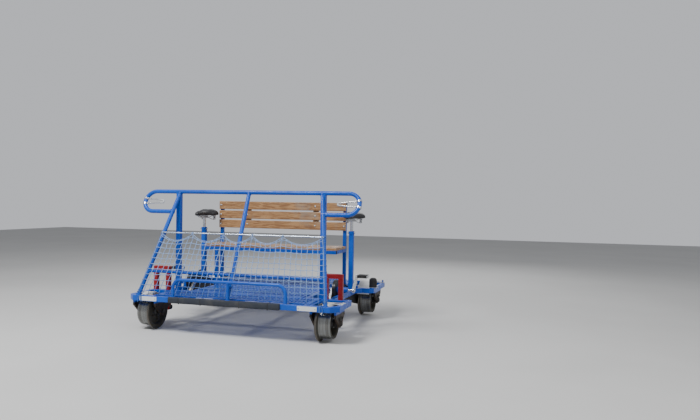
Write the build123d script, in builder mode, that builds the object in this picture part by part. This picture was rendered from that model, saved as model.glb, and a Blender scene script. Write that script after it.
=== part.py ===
from build123d import *
from math import atan2, cos, hypot, radians, sin
import os

os.makedirs("parts", exist_ok=True)

# Driving dimensions, millimetres.
# X runs across the car, Y along the track with the front at -Y, Z up.
# Z = 0 is the lowest point of the wheel flanges, the origin is under the middle of the car.

# Wheels and axles
tread_r = 120
flange_r = 142
flange_back = 684
flange_front = 712
wheel_outer = 802
axle_r = 17.5
running_gap = 0.05
rail_top = flange_r - tread_r
axle_z = flange_r
wheelbase = 1210
axle_setback = 165

# Chassis plan
frame_length = 1600
bumper_proud = 16
beam = 42
half_width = 870
member = 30
corner_cut = 60
corner_in_x = 72
corner_in_y = 84
cross_corner = 20
rear_corner = 30
bay_chamfer = 12
rear_chamfer = 14
gusset_l = 46
tow_reach = 60
tow_root = 45
tow_eye = 30
tow_bore_r = 11
tow_t = 14
length_over = bumper_proud + frame_length + tow_reach
front_y = -length_over / 2 + bumper_proud
rear_y = front_y + frame_length
front_axle_y = front_y + axle_setback
rear_axle_y = front_axle_y + wheelbase
frame_top = rail_top + 262
frame_low = frame_top - beam

inner_rail_x = 500
inner_rail_w = 40
side_member_x = 705
side_member_w = 40
front_cross_y = front_y + 360
front_cross_w = 60
rear_cross_y = front_y + 1085
rear_cross_w = 40
bay_inner = 664
bay_wall = 24
bridge_h = 20
member_edge = 3
cleat_setback = 84
cleat_t = 12
cleat_l = 26
cleat_h = 24

# Pedestal plates at the axle ends: outer pair at both axles, inner pair at the front
pedestal_t = 16
pedestal_l = 220
pedestal_low = 196
pedestal_boss = 32
pedestal_lap = 12
outer_pedestal_x = 836
inner_pedestal_x = 648
axle_proud = 6

# Rear axle bearings under the hangers
bearing_x = 570
bearing_w = 40
bearing_l = 106
bearing_boss = 40
bearing_foot = 14
hanger_l = 110
hanger_gap = 8

# Deck plates
deck_t = 6
deck_half = 478
deck_front_half = 640
deck_setback = 12
deck_gap = 2
slot_w = 14
slot_l = 84
slot_pitch_x = 28
slot_pitch_y = 110

# Sloping front frame and handlebar
tube_r = 16
bar_r = 17
foot_y = front_y + beam / 2
foot_sink = 30
bar_y = front_y + 375
bar_z = rail_top + 1082
side_foot_x = 772
side_lean = 0.17
post_x = 632
post_w = 40
tube_edge = 5
mid_bar_v = 200
mid_bar_r = 12
net_top_v = 522
rod_r = 5
loop_r = 90
loop_centre_x = 840
lower_end_x = 640

# Low upright hoop on the front beam, with its middle post
hoop_x = 464
hoop_y = front_y + 17
hoop_top = rail_top + 398
hoop_bend = 64
hoop_r = 12.5

# Rope net
cord = 4
net_cells = 33
net_pitch = 44
net_low_v = 8
net_first_v = 82
net_ties = (-1, -0.6, -0.2, 0.16, 0.53, 1)
scallop_sag = 58

# Front beam plates and the bumper sleeve
sleeve_half = 462
sleeve_x = -32
sleeve_h = 48
sleeve_wrap = 12
sleeve_fit = 0.2
sleeve_notch = 5
plate_w = 150
plate_x = {"right": 638, "left": 673}
plate_h = 34
plate_t = 2

# Foot brake frames: upright loops through the front cross member, with a shoe behind the wheel
brake_x = {"right": 728, "left": 773}
brake_w = 117
brake_bar = 35
brake_slot_gap = 0.2
brake_y = front_cross_y
brake_top = rail_top + 460
brake_low = 120
brake_low_bar = 30
brake_corner = 6
shoe_in = 722
shoe_out = 797
shoe_low = 110
shoe_high = 166
shoe_gap = 6

# Mudguards: low covers over the front treads, full-width ones at the rear
mud_crown = 4
mud_t = 3
mud_out = 800
stay_w = 20
stay_t = 4

# Rubber buffers on the rear wheel bays
buffer_x = 850
buffer_y = rear_cross_y + 65
buffer_r = 35
buffer_h = 86

# Cranks and pedals
crank_y = front_y + 640
crank_z = rail_top + 300
crank_length = 150
spindle_r = 9
shell_r = 23
shell_in = 672
shell_out = 765
inner_arm = 624
outer_arm = 800
arm_t = 16
arm_big_r = 18
arm_small_r = 13
pedal_spindle_r = 6
pedal_gap = 6
pedal_w = 78
pedal_l = 90
pedal_t = 24
pedal_grooves = (-30, -12, 12, 30)
groove_w = 6
groove_t = 2.5
spindle_proud = 4
crank_angle = 45

# Chain cases
case_in = 648
case_t = shell_in - case_in
case_front_r = 78
case_rear_r = 48
case_spindle_gap = 3
case_axle_gap = 5

# Saddles
saddle_y = front_y + 930
saddle_post_w = 40
saddle_post_top = rail_top + 740
post_gusset_h = 150
post_gusset_t = 8
pin_r = 14
pin_fit = 0.05
pin_low = rail_top + 660
collar_r = 25
collar_h = 28
saddle_base = rail_top + 872
saddle_h = 62
saddle_rim = 6
pin_head_w = 44
pin_head_l = 60
pin_head_h = 16

# Bench
bench_tube = 30
bench_edge = 4
bench_half = 615
bench_rear_x = bench_half - bench_tube / 2
bench_front_y = front_y + 790
bench_rear_y = front_y + 1085
bench_z = rail_top + 575
bench_back_top = rail_top + 1010
slat_w = 74
seat_slat_w = 64
slat_t = 22
slat_gap = 12
batten_w = 50
batten_t = 18
batten_x = 330

# Brake levers: bows of round rod in the handlebar loops
lever_reach = 168
lever_spread = 25
lever_tip = 9.5
lever_bend = 8
lever_r = 5.5
lever_clamp_w = 14
lever_clamp_r = bar_r + 4

# Planes and points shared by several pieces.
slope_dy = bar_y - foot_y
slope_dz = bar_z - frame_top
slope_length = hypot(slope_dy, slope_dz)
slope = atan2(slope_dy, slope_dz)
slope_plane = Plane(
    origin=(0, foot_y, frame_top),
    x_dir=(1, 0, 0),
    z_dir=(0, -cos(slope), sin(slope)),
)
loop_low_v = slope_length - 2 * loop_r
sides = {"right": 1, "left": -1}


# Half width between the centre lines of the sloping side tubes, at a height up the slope.
def side_x(v):
    return side_foot_x - side_lean * v


# Pedestal plates: place across the car, axle.
pedestals = [
    (outer_pedestal_x, front_axle_y),
    (inner_pedestal_x, front_axle_y),
    (outer_pedestal_x, rear_axle_y),
]

# Chassis frame: the plan is drawn once for the right half and mirrored.
bay_rear_y = front_cross_y - front_cross_w / 2
rear_bay_y = rear_cross_y + rear_cross_w / 2
rear_cross_front = rear_cross_y - rear_cross_w / 2
member_in = side_member_x - side_member_w / 2
member_out = side_member_x + side_member_w / 2
hanger_end = case_in - hanger_gap
with BuildPart() as chassis_frame:
    with BuildSketch(Plane.XY.offset(frame_low)):
        # front beam, front wheel bay and its cross member
        with BuildLine():
            Polyline(
                (0, front_y),
                (half_width - corner_cut, front_y),
                (half_width, front_y + corner_cut),
                (half_width, front_cross_y + front_cross_w / 2 - cross_corner),
                (half_width - cross_corner, front_cross_y + front_cross_w / 2),
                (0, front_cross_y + front_cross_w / 2),
                (0, front_y),
            )
        make_face()
        with BuildLine():
            Polyline(
                (bay_inner, front_y + beam),
                (half_width - corner_in_x, front_y + beam),
                (half_width - member, front_y + corner_in_y),
                (half_width - member, bay_rear_y - bay_chamfer),
                (half_width - member - bay_chamfer, bay_rear_y),
                (bay_inner, bay_rear_y),
                (bay_inner, front_y + beam),
            )
        make_face(mode=Mode.SUBTRACT)
        with BuildLine():
            Polyline(
                (inner_rail_x + inner_rail_w / 2, front_y + beam),
                (bay_inner - bay_wall, front_y + beam),
                (bay_inner - bay_wall, bay_rear_y),
                (inner_rail_x + inner_rail_w / 2, bay_rear_y),
                (inner_rail_x + inner_rail_w / 2, front_y + beam),
            )
        make_face(mode=Mode.SUBTRACT)
        with BuildLine():
            Polyline(
                (inner_rail_w / 2, front_y + beam),
                (inner_rail_x - inner_rail_w / 2, front_y + beam),
                (inner_rail_x - inner_rail_w / 2, bay_rear_y),
                (inner_rail_w / 2, bay_rear_y),
                (inner_rail_w / 2, front_y + beam),
            )
        make_face(mode=Mode.SUBTRACT)
        # inner rail and half of the centre rail, full length
        with Locations((inner_rail_x, front_y + frame_length / 2)):
            Rectangle(inner_rail_w, frame_length)
        with Locations((inner_rail_w / 4, front_y + frame_length / 2)):
            Rectangle(inner_rail_w / 2, frame_length)
        # rear cross member between the inner rails
        with Locations((inner_rail_x / 2, rear_cross_y)):
            Rectangle(inner_rail_x, rear_cross_w)
        # side member outside the pedals, with its corner gusset
        with Locations((side_member_x, (front_cross_y + rear_cross_y) / 2)):
            Rectangle(side_member_w, rear_cross_y - front_cross_y)
        with BuildLine():
            Polyline(
                (member_out, rear_cross_front - gusset_l),
                (member_out + gusset_l, rear_cross_front),
                (member_out, rear_cross_front),
                (member_out, rear_cross_front - gusset_l),
            )
        make_face()
        # rear wheel bay and half of the rear beam
        with BuildLine():
            Polyline(
                (member_in, rear_cross_front),
                (half_width - rear_corner, rear_cross_front),
                (half_width, rear_cross_front + rear_corner),
                (half_width, rear_y - corner_cut),
                (half_width - corner_cut, rear_y),
                (0, rear_y),
                (0, rear_y - beam),
                (half_width - corner_in_x, rear_y - beam),
                (half_width - member, rear_y - corner_in_y),
                (half_width - member, rear_bay_y + rear_chamfer),
                (half_width - member - rear_chamfer, rear_bay_y),
                (member_in, rear_bay_y),
                (member_in, rear_cross_front),
            )
        make_face()
        # hanger that carries the rear axle bearing
        with Locations(((inner_rail_x + hanger_end) / 2, rear_axle_y)):
            Rectangle(hanger_end - inner_rail_x, hanger_l)
        mirror(about=Plane.YZ)
    extrude(amount=beam)
    level_edges = chassis_frame.edges().group_by(Axis.Z)
    fillet(level_edges[0] + level_edges[-1], radius=member_edge)
    # slots that the legs of the brake frames pass through
    with BuildSketch(Plane.XY.offset(frame_low)):
        for side, s in sides.items():
            for way in (-1, 1):
                with Locations((s * brake_x[side] + way * brake_w / 2, brake_y)):
                    Rectangle(brake_bar + 2 * brake_slot_gap, brake_bar + 2 * brake_slot_gap)
    extrude(amount=beam, mode=Mode.SUBTRACT)
    # pedestal plates with a boss round the axle
    for plate_x_at, axle_y in pedestals:
        for s in sides.values():
            with BuildSketch(Plane.YZ.offset(s * plate_x_at - pedestal_t / 2)):
                with Locations((axle_y, (pedestal_low + frame_low + pedestal_lap) / 2)):
                    Rectangle(pedestal_l, frame_low + pedestal_lap - pedestal_low)
                with Locations((axle_y, axle_z)):
                    Circle(pedestal_boss)
                make_hull()
                with Locations((axle_y, axle_z)):
                    Circle(axle_r + running_gap, mode=Mode.SUBTRACT)
            extrude(amount=pedestal_t)
    # bridge pieces over the chain cases
    for s in sides.values():
        with Locations((s * (inner_rail_x + side_member_x) / 2, rear_cross_y, frame_top)):
            Box(
                side_member_x - inner_rail_x + side_member_w,
                rear_cross_w,
                bridge_h,
                align=(Align.CENTER, Align.CENTER, Align.MIN),
            )
    # crank shells on their saddle blocks
    for s in sides.values():
        with Locations((s * side_member_x, crank_y, frame_top)):
            Box(
                side_member_w,
                2 * shell_r,
                crank_z - frame_top,
                align=(Align.CENTER, Align.CENTER, Align.MIN),
            )
        with Locations(Location((s * (shell_in + shell_out) / 2, crank_y, crank_z), (0, 90, 0))):
            Cylinder(shell_r, shell_out - shell_in)
    for s in sides.values():
        with Locations(Location((s * (shell_in + shell_out) / 2, crank_y, crank_z), (0, 90, 0))):
            Cylinder(spindle_r + running_gap, shell_out - shell_in, mode=Mode.SUBTRACT)
    # tow lug at the middle of the rear beam
    tow_y = rear_y + tow_reach - tow_eye
    with BuildSketch(Plane.XY.offset(frame_low + beam / 2 - tow_t / 2)):
        with BuildLine():
            Polyline(
                (-tow_root, rear_y),
                (tow_root, rear_y),
                (tow_eye, tow_y),
                (-tow_eye, tow_y),
                (-tow_root, rear_y),
            )
        make_face()
        with Locations((0, tow_y)):
            Circle(tow_eye)
        with Locations((0, tow_y)):
            Circle(tow_bore_r, mode=Mode.SUBTRACT)
    extrude(amount=tow_t)
    # cleats on the rear corners
    for s in sides.values():
        with Locations((s * (half_width - member / 2), rear_y - cleat_setback, frame_top)):
            Box(cleat_t, cleat_l, cleat_h, align=(Align.CENTER, Align.CENTER, Align.MIN))
chassis_frame.part.label = "chassis_frame"
export_step(chassis_frame.part, "parts/chassis_frame.step")

# Slotted deck plates: half width, front and rear edge, slot columns and rows.
decks = [
    ("floor_front", deck_front_half, front_y + beam + deck_setback, bay_rear_y - deck_gap, 43, 2),
    ("floor_main", deck_half, bay_rear_y + deck_gap, rear_cross_front - deck_gap, 33, 6),
    ("floor_rear", deck_half, rear_bay_y + deck_gap, rear_y - deck_gap, 33, 4),
]
for name, half, y_front, y_back, columns, rows in decks:
    with BuildPart() as deck:
        with BuildSketch(Plane.XY.offset(frame_top)):
            with Locations((0, (y_front + y_back) / 2)):
                RectangleRounded(2 * half, y_back - y_front, 8)
            with Locations((0, (y_front + y_back) / 2)):
                with GridLocations(slot_pitch_x, slot_pitch_y, columns, rows):
                    SlotOverall(slot_l, slot_w, rotation=90, mode=Mode.SUBTRACT)
        extrude(amount=deck_t)
    deck.part.label = name
    export_step(deck.part, f"parts/{name}.step")

# Front frame: sloping side tubes, centre prop, mid bar, low hoop and the two upright posts.
with BuildPart() as front_frame:
    for s in sides.values():
        with BuildLine(slope_plane):
            Line((s * side_x(-foot_sink), -foot_sink), (s * side_x(slope_length), slope_length))
        foot = slope_plane.from_local_coords((s * side_x(-foot_sink), -foot_sink, 0))
        head = slope_plane.from_local_coords((s * side_x(slope_length), slope_length, 0))
        with BuildSketch(Plane(origin=foot, z_dir=head - foot)):
            Circle(tube_r)
        sweep()
    prop_foot = slope_plane.from_local_coords((0, -foot_sink, 0))
    with BuildSketch(Plane(origin=prop_foot, z_dir=slope_plane.y_dir)):
        Circle(tube_r)
    extrude(amount=slope_length + foot_sink)
    mid_bar = slope_plane.from_local_coords((0, mid_bar_v, 0))
    with BuildSketch(Plane(origin=mid_bar, x_dir=(0, 1, 0), z_dir=(1, 0, 0))):
        Circle(mid_bar_r)
    extrude(amount=side_x(mid_bar_v), both=True)
    hoop_plane = Plane(origin=(0, hoop_y, frame_top), x_dir=(1, 0, 0), z_dir=(0, -1, 0))
    with BuildLine(hoop_plane):
        FilletPolyline(
            (-hoop_x, -20),
            (-hoop_x, hoop_top - frame_top),
            (hoop_x, hoop_top - frame_top),
            (hoop_x, -20),
            radius=hoop_bend,
        )
    with BuildSketch(Plane(origin=hoop_plane.from_local_coords((-hoop_x, -20, 0)), z_dir=(0, 0, 1))):
        Circle(hoop_r)
    sweep()
    with BuildSketch(Plane.XY.offset(frame_top)):
        with Locations((0, hoop_y)):
            Circle(hoop_r)
    extrude(amount=hoop_top - frame_top)
    with BuildSketch(Plane.XY.offset(frame_top)):
        with Locations((-post_x, bar_y), (post_x, bar_y)):
            RectangleRounded(post_w, post_w, tube_edge)
    extrude(amount=bar_z - frame_top - 4)
    # square feet on the chassis and tops shaped to the handlebar
    with Locations((0, foot_y, frame_top)):
        Box(2 * half_width, 200, 60, align=(Align.CENTER, Align.CENTER, Align.MAX), mode=Mode.SUBTRACT)
    with Locations(Location((0, bar_y, bar_z), (0, 90, 0))):
        Cylinder(bar_r, 2 * loop_centre_x, mode=Mode.SUBTRACT)
    with Locations((0, bar_y, bar_z)):
        Box(2 * half_width, 60, 60, align=(Align.CENTER, Align.CENTER, Align.MIN), mode=Mode.SUBTRACT)
front_frame.part.label = "front_frame"
export_step(front_frame.part, "parts/front_frame.step")

# Handlebar: one tube across the car, turned down and back in at each end.
with BuildPart() as handlebar:
    with BuildLine(slope_plane):
        Polyline((-lower_end_x, loop_low_v), (-loop_centre_x, loop_low_v))
        ThreePointArc(
            (-loop_centre_x, loop_low_v),
            (-loop_centre_x - loop_r, loop_low_v + loop_r),
            (-loop_centre_x, slope_length),
        )
        Line((-loop_centre_x, slope_length), (loop_centre_x, slope_length))
        ThreePointArc(
            (loop_centre_x, slope_length),
            (loop_centre_x + loop_r, loop_low_v + loop_r),
            (loop_centre_x, loop_low_v),
        )
        Line((loop_centre_x, loop_low_v), (lower_end_x, loop_low_v))
    with BuildSketch(
        Plane(
            origin=slope_plane.from_local_coords((-lower_end_x, loop_low_v, 0)),
            x_dir=slope_plane.y_dir,
            z_dir=(-1, 0, 0),
        )
    ):
        Circle(bar_r)
    sweep()
    add(front_frame.part, mode=Mode.SUBTRACT)
handlebar.part.label = "handlebar"
export_step(handlebar.part, "parts/handlebar.step")

# Rod that carries the top of the net, lying against the front of the tubes.
rod_out = tube_r + rod_r
rod_centre = slope_plane.from_local_coords((0, net_top_v, rod_out))
with BuildPart() as net_rod:
    with BuildSketch(Plane(origin=rod_centre, x_dir=(0, 1, 0), z_dir=(1, 0, 0))):
        Circle(rod_r)
    extrude(amount=side_x(net_top_v) + 4, both=True)
net_rod.part.label = "net_rod"
export_step(net_rod.part, "parts/net_rod.step")


# Height of the net's scalloped head rope at a place across the car (-1 to 1).
def head_v(place):
    for left, right in zip(net_ties, net_ties[1:]):
        if place <= right:
            along = (place - left) / (right - left)
            return net_top_v - rod_r - 2 - scallop_sag * (1 - (2 * along - 1) ** 2)


# Rope net, stretched between the side tubes and hung in scallops from the rod.
net_plane = slope_plane.offset(tube_r + 0.4)
rows = int((net_top_v - scallop_sag - net_first_v) / net_pitch) + 1
with BuildPart() as net:
    with BuildSketch(net_plane):
        for i in range(net_cells + 1):
            place = -1 + 2 * i / net_cells
            top = head_v(place)
            with BuildLine():
                Polyline(
                    (place * side_x(net_low_v) - cord / 2, net_low_v),
                    (place * side_x(net_low_v) + cord / 2, net_low_v),
                    (place * side_x(top) + cord / 2, top),
                    (place * side_x(top) - cord / 2, top),
                    (place * side_x(net_low_v) - cord / 2, net_low_v),
                )
            make_face()
        for j in range(rows):
            v = net_first_v + j * net_pitch
            with Locations((0, v)):
                Rectangle(2 * side_x(v), cord)
        for start, end in zip(net_ties, net_ties[1:]):
            left = side_x(net_top_v) * start
            right = side_x(net_top_v) * end
            tie_v = net_top_v - rod_r - 2
            with BuildLine():
                ThreePointArc(
                    (left, tie_v + cord / 2),
                    ((left + right) / 2, tie_v - scallop_sag + cord / 2),
                    (right, tie_v + cord / 2),
                )
                Line((right, tie_v + cord / 2), (right, tie_v - cord / 2))
                ThreePointArc(
                    (right, tie_v - cord / 2),
                    ((left + right) / 2, tie_v - scallop_sag - cord / 2),
                    (left, tie_v - cord / 2),
                )
                Line((left, tie_v - cord / 2), (left, tie_v + cord / 2))
            make_face()
    extrude(amount=cord)
net.part.label = "net"
export_step(net.part, "parts/net.step")

# Soft bumper strip on the front beam: rounded in front, with lips over and under the beam.
with BuildPart() as bumper_sleeve:
    with BuildSketch(Plane.YZ.offset(sleeve_x - sleeve_half)):
        with Locations((front_y + (sleeve_wrap - bumper_proud) / 2, frame_low + beam / 2)):
            RectangleRounded(sleeve_wrap + bumper_proud, sleeve_h, (sleeve_wrap + bumper_proud) / 2 - 0.5)
            with Locations((sleeve_wrap / 2, 0)):
                Rectangle(bumper_proud, sleeve_h)
        with Locations((front_y + beam / 2 - sleeve_fit, frame_low + beam / 2)):
            Rectangle(beam, beam + 2 * sleeve_fit, mode=Mode.SUBTRACT)
    extrude(amount=2 * sleeve_half)
    with BuildSketch(Plane.XY.offset(frame_top)):
        for x in (-hoop_x, 0, hoop_x):
            with Locations((x, hoop_y)):
                Circle(hoop_r + sleeve_notch)
    extrude(amount=sleeve_h, mode=Mode.SUBTRACT)
bumper_sleeve.part.label = "bumper_sleeve"
export_step(bumper_sleeve.part, "parts/bumper_sleeve.step")

# Blank plates on the front beam.
for side, s in sides.items():
    with BuildPart() as front_plate:
        with BuildSketch(Plane.XZ.offset(-front_y)):
            with Locations((s * plate_x[side], frame_low + beam / 2)):
                RectangleRounded(plate_w, plate_h, 3)
        extrude(amount=plate_t)
    front_plate.part.label = f"front_plate_{side}"
    export_step(front_plate.part, f"parts/front_plate_{side}.step")

# Foot brake frames: closed upright loops of square bar.
brake_h = brake_top - brake_low
for side, s in sides.items():
    with BuildPart() as brake_frame:
        with BuildSketch(Plane.XZ.offset(-(brake_y + brake_bar / 2))):
            with Locations((s * brake_x[side], (brake_low + brake_top) / 2)):
                Rectangle(brake_w + brake_bar, brake_h)
            with Locations((s * brake_x[side], (brake_low + brake_low_bar + brake_top - brake_bar) / 2)):
                Rectangle(brake_w - brake_bar, brake_h - brake_bar - brake_low_bar, mode=Mode.SUBTRACT)
        extrude(amount=brake_bar)
        fillet(brake_frame.edges().filter_by(Axis.X).group_by(Axis.Z)[-1], radius=4)
        fillet(brake_frame.edges().filter_by(Axis.Y).group_by(Axis.Z)[-1], radius=brake_corner)
    brake_frame.part.label = f"brake_frame_{side}"
    export_step(brake_frame.part, f"parts/brake_frame_{side}.step")

# Brake shoes: blocks on the low bars, hollowed to the tread.
shoe_front = front_axle_y + tread_r
shoe_back = brake_y - brake_bar / 2
shoe_y = (shoe_front + shoe_back) / 2
shoe_z = (shoe_low + shoe_high) / 2
for side, s in sides.items():
    with BuildPart() as brake_shoe:
        with Locations((s * (shoe_in + shoe_out) / 2, shoe_y, shoe_z)):
            Box(shoe_out - shoe_in, shoe_back - shoe_front, shoe_high - shoe_low)
        with Locations(Location((0, front_axle_y, axle_z), (0, 90, 0))):
            Cylinder(tread_r + shoe_gap, 4 * half_width, mode=Mode.SUBTRACT)
    brake_shoe.part.label = f"brake_shoe_{side}"
    export_step(brake_shoe.part, f"parts/brake_shoe_{side}.step")

# Brake levers: a bow of rod between two clamps round the loop's end.
lever_v = loop_low_v + loop_r
lever_x = loop_centre_x + (loop_r**2 - lever_spread**2) ** 0.5
for side, s in sides.items():
    with BuildPart() as brake_lever:
        with BuildLine(slope_plane):
            FilletPolyline(
                (s * lever_x, lever_v + lever_spread),
                (s * (lever_x - lever_reach), lever_v + lever_tip),
                (s * (lever_x - lever_reach), lever_v - lever_tip),
                (s * lever_x, lever_v - lever_spread),
                radius=lever_bend,
            )
        start = slope_plane.from_local_coords((s * lever_x, lever_v + lever_spread, 0))
        tip = slope_plane.from_local_coords((s * (lever_x - lever_reach), lever_v + lever_tip, 0))
        with BuildSketch(Plane(origin=start, z_dir=tip - start)):
            Circle(lever_r)
        sweep()
        for way in (-1, 1):
            place = (s * lever_x, lever_v + way * lever_spread)
            tangent = (-s * way * lever_spread / loop_r, (lever_x - loop_centre_x) / loop_r)
            middle = slope_plane.from_local_coords((*place, 0))
            ahead = slope_plane.from_local_coords((place[0] + tangent[0], place[1] + tangent[1], 0))
            with BuildSketch(Plane(origin=middle, z_dir=ahead - middle)):
                Circle(lever_clamp_r)
            extrude(amount=lever_clamp_w / 2, both=True)
        add(handlebar.part, mode=Mode.SUBTRACT)
    brake_lever.part.label = f"brake_lever_{side}"
    export_step(brake_lever.part, f"parts/brake_lever_{side}.step")

# Mudguards: crowned strips bent round the wheels, with stays to the wheel bays.
# End, axle, first and last angle, radius, inner edge, places of the stays.
mudguards = [
    ("front", front_axle_y, 44, 136, tread_r + 26, flange_front + 6, (-30, 30)),
    ("rear", rear_axle_y, 22, 158, flange_r + 44, flange_back + 6, (-114, 114)),
]
for end, axle_y, first, last, mud_r, mud_in, stays in mudguards:
    for side, s in sides.items():
        with BuildPart() as mudguard:
            start = Plane(
                origin=(0, axle_y, axle_z),
                x_dir=(1, 0, 0),
                z_dir=(0, -sin(radians(first)), cos(radians(first))),
            )
            with BuildSketch(start):
                with BuildLine():
                    ThreePointArc(
                        (s * mud_in, mud_r),
                        (s * (mud_in + mud_out) / 2, mud_r + mud_crown),
                        (s * mud_out, mud_r),
                    )
                    Line((s * mud_out, mud_r), (s * mud_out, mud_r - mud_t))
                    ThreePointArc(
                        (s * mud_out, mud_r - mud_t),
                        (s * (mud_in + mud_out) / 2, mud_r + mud_crown - mud_t),
                        (s * mud_in, mud_r - mud_t),
                    )
                    Line((s * mud_in, mud_r - mud_t), (s * mud_in, mud_r))
                make_face()
            revolve(axis=Axis((0, axle_y, axle_z), (1, 0, 0)), revolution_arc=last - first)
            for stay_y in stays:
                with Locations((s * mud_out, axle_y + stay_y, frame_top)):
                    Box(
                        2 * (half_width - mud_out),
                        stay_w,
                        stay_t,
                        align=(Align.CENTER, Align.CENTER, Align.MIN),
                    )
            with Locations(Location((0, axle_y, axle_z), (0, 90, 0))):
                Cylinder(mud_r - mud_t - 1, 4 * half_width, mode=Mode.SUBTRACT)
        mudguard.part.label = f"mudguard_{end}_{side}"
        export_step(mudguard.part, f"parts/mudguard_{end}_{side}.step")

# Rubber buffers with rounded tops.
for side, s in sides.items():
    with BuildPart() as buffer:
        with BuildSketch(Plane.XY.offset(frame_top)):
            with Locations((s * buffer_x, buffer_y)):
                Circle(buffer_r)
        extrude(amount=buffer_h)
        fillet(buffer.edges().sort_by(Axis.Z)[-1], radius=26)
    buffer.part.label = f"buffer_{side}"
    export_step(buffer.part, f"parts/buffer_{side}.step")

# Saddle posts with a clamp collar and a plate gusset.
for side, s in sides.items():
    with BuildPart() as saddle_post:
        with BuildSketch(Plane.XY.offset(frame_top)):
            with Locations((s * side_member_x, saddle_y)):
                RectangleRounded(saddle_post_w, saddle_post_w, tube_edge)
        extrude(amount=saddle_post_top - frame_top)
        with Locations((s * side_member_x, saddle_y, saddle_post_top)):
            Cylinder(collar_r, collar_h, align=(Align.CENTER, Align.CENTER, Align.MIN))
        with BuildSketch(Plane.YZ.offset(s * side_member_x - post_gusset_t / 2)):
            with BuildLine():
                Polyline(
                    (saddle_y, frame_top),
                    (rear_cross_front - 1, frame_top),
                    (saddle_y, frame_top + post_gusset_h),
                    (saddle_y, frame_top),
                )
            make_face()
        extrude(amount=post_gusset_t)
        with Locations((s * side_member_x, saddle_y, pin_low)):
            Cylinder(
                pin_r + pin_fit,
                saddle_post_top + collar_h - pin_low,
                align=(Align.CENTER, Align.CENTER, Align.MIN),
                mode=Mode.SUBTRACT,
            )
    saddle_post.part.label = f"saddle_post_{side}"
    export_step(saddle_post.part, f"parts/saddle_post_{side}.step")

# Seat pins: the plated tube under each saddle, with its head block.
pin_head_z = saddle_base - pin_head_h
for side, s in sides.items():
    with BuildPart() as seat_pin:
        with Locations((s * side_member_x, saddle_y, pin_low)):
            Cylinder(pin_r, pin_head_z - pin_low, align=(Align.CENTER, Align.CENTER, Align.MIN))
        with Locations((s * side_member_x, saddle_y, pin_head_z)):
            Box(pin_head_w, pin_head_l, pin_head_h, align=(Align.CENTER, Align.CENTER, Align.MIN))
    seat_pin.part.label = f"seat_pin_{side}"
    export_step(seat_pin.part, f"parts/seat_pin_{side}.step")

# Saddles: lofted from arched sections, place along the saddle, half width, height of the crown.
saddle_sections = [
    (-150, 18, 34),
    (-90, 30, 46),
    (-10, 48, 50),
    (60, 98, saddle_h),
    (112, 92, saddle_h - 8),
]
for side, s in sides.items():
    with BuildPart() as saddle:
        for along, half, crown in saddle_sections:
            left = s * side_member_x - half
            right = s * side_member_x + half
            with BuildSketch(Plane.XZ.offset(-(saddle_y + along))):
                with BuildLine():
                    Polyline(
                        (left, saddle_base + saddle_rim),
                        (left, saddle_base),
                        (right, saddle_base),
                        (right, saddle_base + saddle_rim),
                    )
                    ThreePointArc(
                        (right, saddle_base + saddle_rim),
                        (s * side_member_x, saddle_base + crown),
                        (left, saddle_base + saddle_rim),
                    )
                make_face()
        loft()
    saddle.part.label = f"saddle_{side}"
    export_step(saddle.part, f"parts/saddle_{side}.step")

# Chain cases from the cranks to the rear axle.
for side, s in sides.items():
    case_x = case_in if s > 0 else -case_in - case_t
    with BuildPart() as chain_case:
        with BuildSketch(Plane.YZ.offset(case_x)):
            with Locations((crank_y, crank_z)):
                Circle(case_front_r)
            with Locations((rear_axle_y, axle_z)):
                Circle(case_rear_r)
            make_hull()
            with Locations((crank_y, crank_z)):
                Circle(spindle_r + case_spindle_gap, mode=Mode.SUBTRACT)
            with Locations((rear_axle_y, axle_z)):
                Circle(axle_r + case_axle_gap, mode=Mode.SUBTRACT)
        extrude(amount=case_t)
    chain_case.part.label = f"chain_case_{side}"
    export_step(chain_case.part, f"parts/chain_case_{side}.step")

# Cranks: spindle, two opposed arms and the pedal spindles.
for side, s in sides.items():
    with BuildPart() as crank:
        with Locations(Location((s * (inner_arm + outer_arm + arm_t) / 2, crank_y, crank_z), (0, 90, 0))):
            Cylinder(spindle_r, outer_arm + arm_t - inner_arm)
        for arm_x, way in ((inner_arm, -1), (outer_arm, 1)):
            end_y = crank_y + way * crank_length * cos(radians(crank_angle))
            end_z = crank_z + way * crank_length * sin(radians(crank_angle))
            plane_x = s * (arm_x + arm_t / 2) - arm_t / 2
            with BuildSketch(Plane.YZ.offset(plane_x)):
                with Locations((crank_y, crank_z)):
                    Circle(arm_big_r)
                with Locations((end_y, end_z)):
                    Circle(arm_small_r)
                make_hull()
            extrude(amount=arm_t)
            reach = pedal_gap + pedal_w + spindle_proud
            spindle_mid = arm_x + arm_t / 2 + way * (arm_t / 2 + reach / 2)
            with Locations(Location((s * spindle_mid, end_y, end_z), (0, 90, 0))):
                Cylinder(pedal_spindle_r, reach)
    crank.part.label = f"crank_{side}"
    export_step(crank.part, f"parts/crank_{side}.step")

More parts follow.
